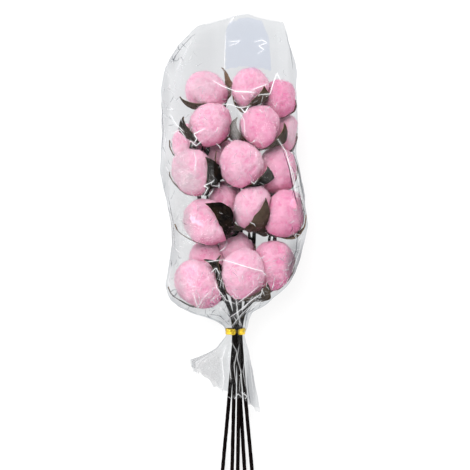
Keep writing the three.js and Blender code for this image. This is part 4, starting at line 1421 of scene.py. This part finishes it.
def in_patches(pixels, patches):
    """How strongly each point lies in any of several soft oval patches."""
    strength = np.zeros(len(pixels))
    for centre, half, share in patches:
        apart = np.linalg.norm((pixels - np.array(centre)) / np.array(half), axis=1)
        strength = np.maximum(strength, share * (1 - smooth(apart, PATCH_CORE, PATCH_RIM)))
    return strength


def inside(pixels, outline):
    """Which points lie inside an outline."""
    x, y = pixels.T
    within = np.zeros(len(pixels), dtype=bool)
    for (x1, y1), (x2, y2) in zip(outline, outline[1:] + outline[:1]):
        if y1 != y2:
            crosses = ((y1 > y) != (y2 > y)) & (x < (x2 - x1) * (y - y1) / (y2 - y1) + x1)
            within ^= crosses
    return within


def crease(obj, look):
    """Raises crinkles and folds in the film, and keeps its haze, painted highlights, painted shade and
    double layer.
    """
    points, facing = coords(obj), normals(obj)
    pixels = to_pixels(points)
    upper = facing[:, 2] > UPPER_LEVEL
    crumple = in_patches(pixels, CRUMPLES)
    moved = np.zeros(len(points))
    for size, height, seed in CRINKLE_WAVES:
        wave = noise_at(points * np.array(STRETCHED), size * MM, seed)
        crest = np.clip(1 - np.abs(wave) * THINNESS, 0, 1) ** SHARPNESS
        moved += crest * height * look.crinkle_height * lerp(SMOOTH_SHARE, 1, crumple)
    glint = np.zeros(len(points))
    broken = BROKEN_LEAST + BROKEN_RANGE * np.sin((pixels * BROKEN_WAVES).sum(axis=1))
    for fold in FOLDS:
        near = near_line(pixels, fold.points, fold.width)
        glow = near**GLOW_SHARPNESS * fold.glint * broken * GLINT_SHARE
        moved += np.where(upper, near**RISE_SHARPNESS * fold.height * MM, 0)
        glint = np.maximum(glint, np.where(upper, glow, 0))
    points += facing * moved[:, None]
    points[:, 2] = np.maximum(points[:, 2], FILM_CLEARANCE * MM)
    put_coords(obj, points)
    # Painted highlight along the folds
    store(obj, "glint", glint)
    store(obj, "crumple", crumple)
    store(obj, "haze", upper * in_patches(pixels, HAZES))
    store(obj, "double", upper & inside(pixels, DOUBLE_LAYER))
    # Painted shade in the grey places
    store(obj, "shade", upper * in_patches(pixels, SHADES))


def along_line(line, spacing):
    """Points every so far along a line, and how far along it each lies, from 0 to 1."""
    line = np.array(line)
    steps = np.linalg.norm(np.diff(line, axis=0), axis=1)
    far = np.concatenate([[0], np.cumsum(steps)])
    count = max(int(far[-1] / spacing), 4)
    at = np.linspace(0, far[-1], count + 1)
    return np.stack([np.interp(at, far, line[:, 0]), np.interp(at, far, line[:, 1])], axis=1), at / far[-1]


def felt(film, x, y):
    """The point of the film's upper side at a place, or None."""
    return film.ray_cast(Vector((x, y, ABOVE)), Vector((0, 0, -1)))[0]


def on_top(film, u, v):
    """The X and Y of what a pixel shows on the film's upper side."""
    height = SCALE_HEIGHT
    for _ in range(ROUNDS):
        hit = felt(film, *to_plan(u, v, height))
        height = hit.z if hit else height
    return to_plan(u, v, height)


def ridge(film, plan, share, width, strength):
    """A thin crest that stands on the film along a line, tapered to both ends."""
    tops = np.array([felt(film, x, y) or Vector((x, y, RIDGE_FALLBACK * MM)) for x, y in plan])
    ahead = np.gradient(tops, axis=0)
    across = np.cross(ahead, (0, 0, 1))
    across /= np.maximum(np.linalg.norm(across, axis=1), 1e-9)[:, None]
    half = width / 2 * MM * np.sqrt(np.sin(math.pi * np.clip(share, 0, 1)))

    def place(around, along):
        row = np.rint(along * (len(tops) - 1)).astype(int)
        angle = math.pi * around
        side = across[row] * (half[row] * np.cos(angle))[:, None]
        rise = half[row] * CREST_RISE * np.sin(angle)
        points = tops[row] + side
        points[:, 2] += rise
        return points

    crest = grid("crest", 3, len(tops) - 1, place)
    edit(crest, merge_points, turn_out)
    # Painted highlight on the crest above zero strength, painted shade below
    store(crest, "glint", max(strength, 0))
    store(crest, "shade", max(-strength, 0))
    return crest


def crinkle_line(start, draw):
    """A short bent line from a pixel, drawn at random."""
    turn = math.pi / 2 + draw.normal(0, CRINKLE_TURN)
    line = [start]
    for _ in range(CRINKLE_PIECES):
        turn += draw.normal(0, CRINKLE_BEND)
        line.append(line[-1] + draw.uniform(*CRINKLE_REACH) * np.array([math.cos(turn), math.sin(turn)]))
    return line


def crests(obj):
    """The crests of the folds, and of small crinkles drawn at random where the film is crumpled."""
    film = BVHTree.FromPolygons([v.co for v in obj.data.vertices], [p.vertices for p in obj.data.polygons])
    made = []
    for fold in FOLDS:
        plan, share = along_line([on_top(film, u, v) for u, v in fold.points], CREST_SPACING * MM)
        made.append(ridge(film, plan, share, fold.width * CREST_SHARE, fold.glint))
    draw = np.random.default_rng(CRINKLE_SEED)
    for centre, half, share in CRUMPLES:
        for _ in range(int(CRINKLES * share * half[0] * half[1] / CRINKLE_AREA)):
            line = crinkle_line(np.array(centre) + draw.uniform(-1, 1, 2) * np.array(half), draw)
            if not inside(np.array(line), LEFT_EDGE + RIGHT_EDGE[::-1]).all():
                continue
            over_heads = HEADS_LEFT < line[0][0] < HEADS_RIGHT and line[0][1] < HEADS_BOTTOM
            strength = draw.choice(OVER_HEADS if over_heads else BESIDE_HEADS)
            plan, share_along = along_line([on_top(film, u, v) for u, v in line], CRINKLE_SPACING * MM)
            made.append(ridge(film, plan, share_along, draw.uniform(*CRINKLE_WIDTH), strength))
    return made


class BUNCH_OT_sleeve(bpy.types.Operator):
    """Make the clear film sleeve, draped over the heads, gathered at the neck and open at its skirt"""

    bl_idname = "bunch.sleeve"
    bl_label = "Film sleeve"

    def execute(self, context):
        look = context.scene.bunch_film
        names = [o.name for o in bpy.data.objects if o.name.startswith(("lint_", "husk_", "twig_"))]
        sleeve = grid("film", look.around, look.along, sleeve_place(ContentsHeight(names)))
        edit(sleeve, merge_points, turn_out)
        crease(sleeve, look)
        sleeve = join([sleeve, *crests(sleeve)], "film")
        finish_piece(sleeve, film_material(look), "film", "sleeve")
        return {"FINISHED"}


# Tie


def pinch(ribbon, look):
    """Gathers the ribbon where it is twisted tight, on its upper side."""
    points = coords(ribbon)
    knot_x, _ = to_plan(*KNOT_PIXEL)
    middle_y = (NECK_TOP + NECK_BOTTOM) / 2 * MM
    near = 1 - smooth(np.abs(points[:, 0] - knot_x), KNOT_CORE * MM, look.pinch_width)
    near *= smooth(points[:, 2], KNOT_FROM * MM, KNOT_FULL * MM)
    points[:, 1] = lerp(points[:, 1], middle_y + (points[:, 1] - middle_y) * KNOT_WIDTH, near)
    points[:, 2] -= near * KNOT_DEPTH * MM
    put_coords(ribbon, points)
    # The pinched stretch is painted dark as shade
    store(ribbon, "knot", near)


class BUNCH_OT_tie(bpy.types.Operator):
    """Make the gold twist tie round the neck"""

    bl_idname = "bunch.tie"
    bl_label = "Twist tie"

    def execute(self, context):
        ribbon = copy_of("tie", "foil_tie")
        subdivide(ribbon, 2)
        pinch(ribbon, context.scene.bunch_tie)
        for size, height in FOIL_CREASES:
            roughen(ribbon, size * MM, height * MM)
        finish_piece(ribbon, foil_material(context.scene.bunch_tie), "foil", "tie")
        return {"FINISHED"}


OPERATORS = [BUNCH_OT_stage, BUNCH_OT_cotton, BUNCH_OT_burrs, BUNCH_OT_stems, BUNCH_OT_sleeve, BUNCH_OT_tie]


class BUNCH_PT_panel(bpy.types.Panel):
    """The bunch's pieces and their looks"""

    bl_idname = "BUNCH_PT_panel"
    bl_label = "Cotton bunch"
    bl_space_type = "VIEW_3D"
    bl_region_type = "UI"
    bl_category = "Bunch"

    def draw(self, context):
        for operator in OPERATORS:
            self.layout.operator(operator.bl_idname)
        for name, group in LOOKS.items():
            box = self.layout.box()
            for key in group.__annotations__:
                box.prop(getattr(context.scene, name), key)


CLASSES = [*LOOKS.values(), *OPERATORS, BUNCH_PT_panel]


def register():
    for cls in CLASSES:
        bpy.utils.register_class(cls)
    for name, group in LOOKS.items():
        setattr(bpy.types.Scene, name, PointerProperty(type=group))


def unregister():
    for name in LOOKS:
        delattr(bpy.types.Scene, name)
    for cls in reversed(CLASSES):
        bpy.utils.unregister_class(cls)


def main():
    register()
    for operator in OPERATORS:
        group, name = operator.bl_idname.split(".")
        getattr(getattr(bpy.ops, group), name)()


if __name__ == "__main__":
    main()
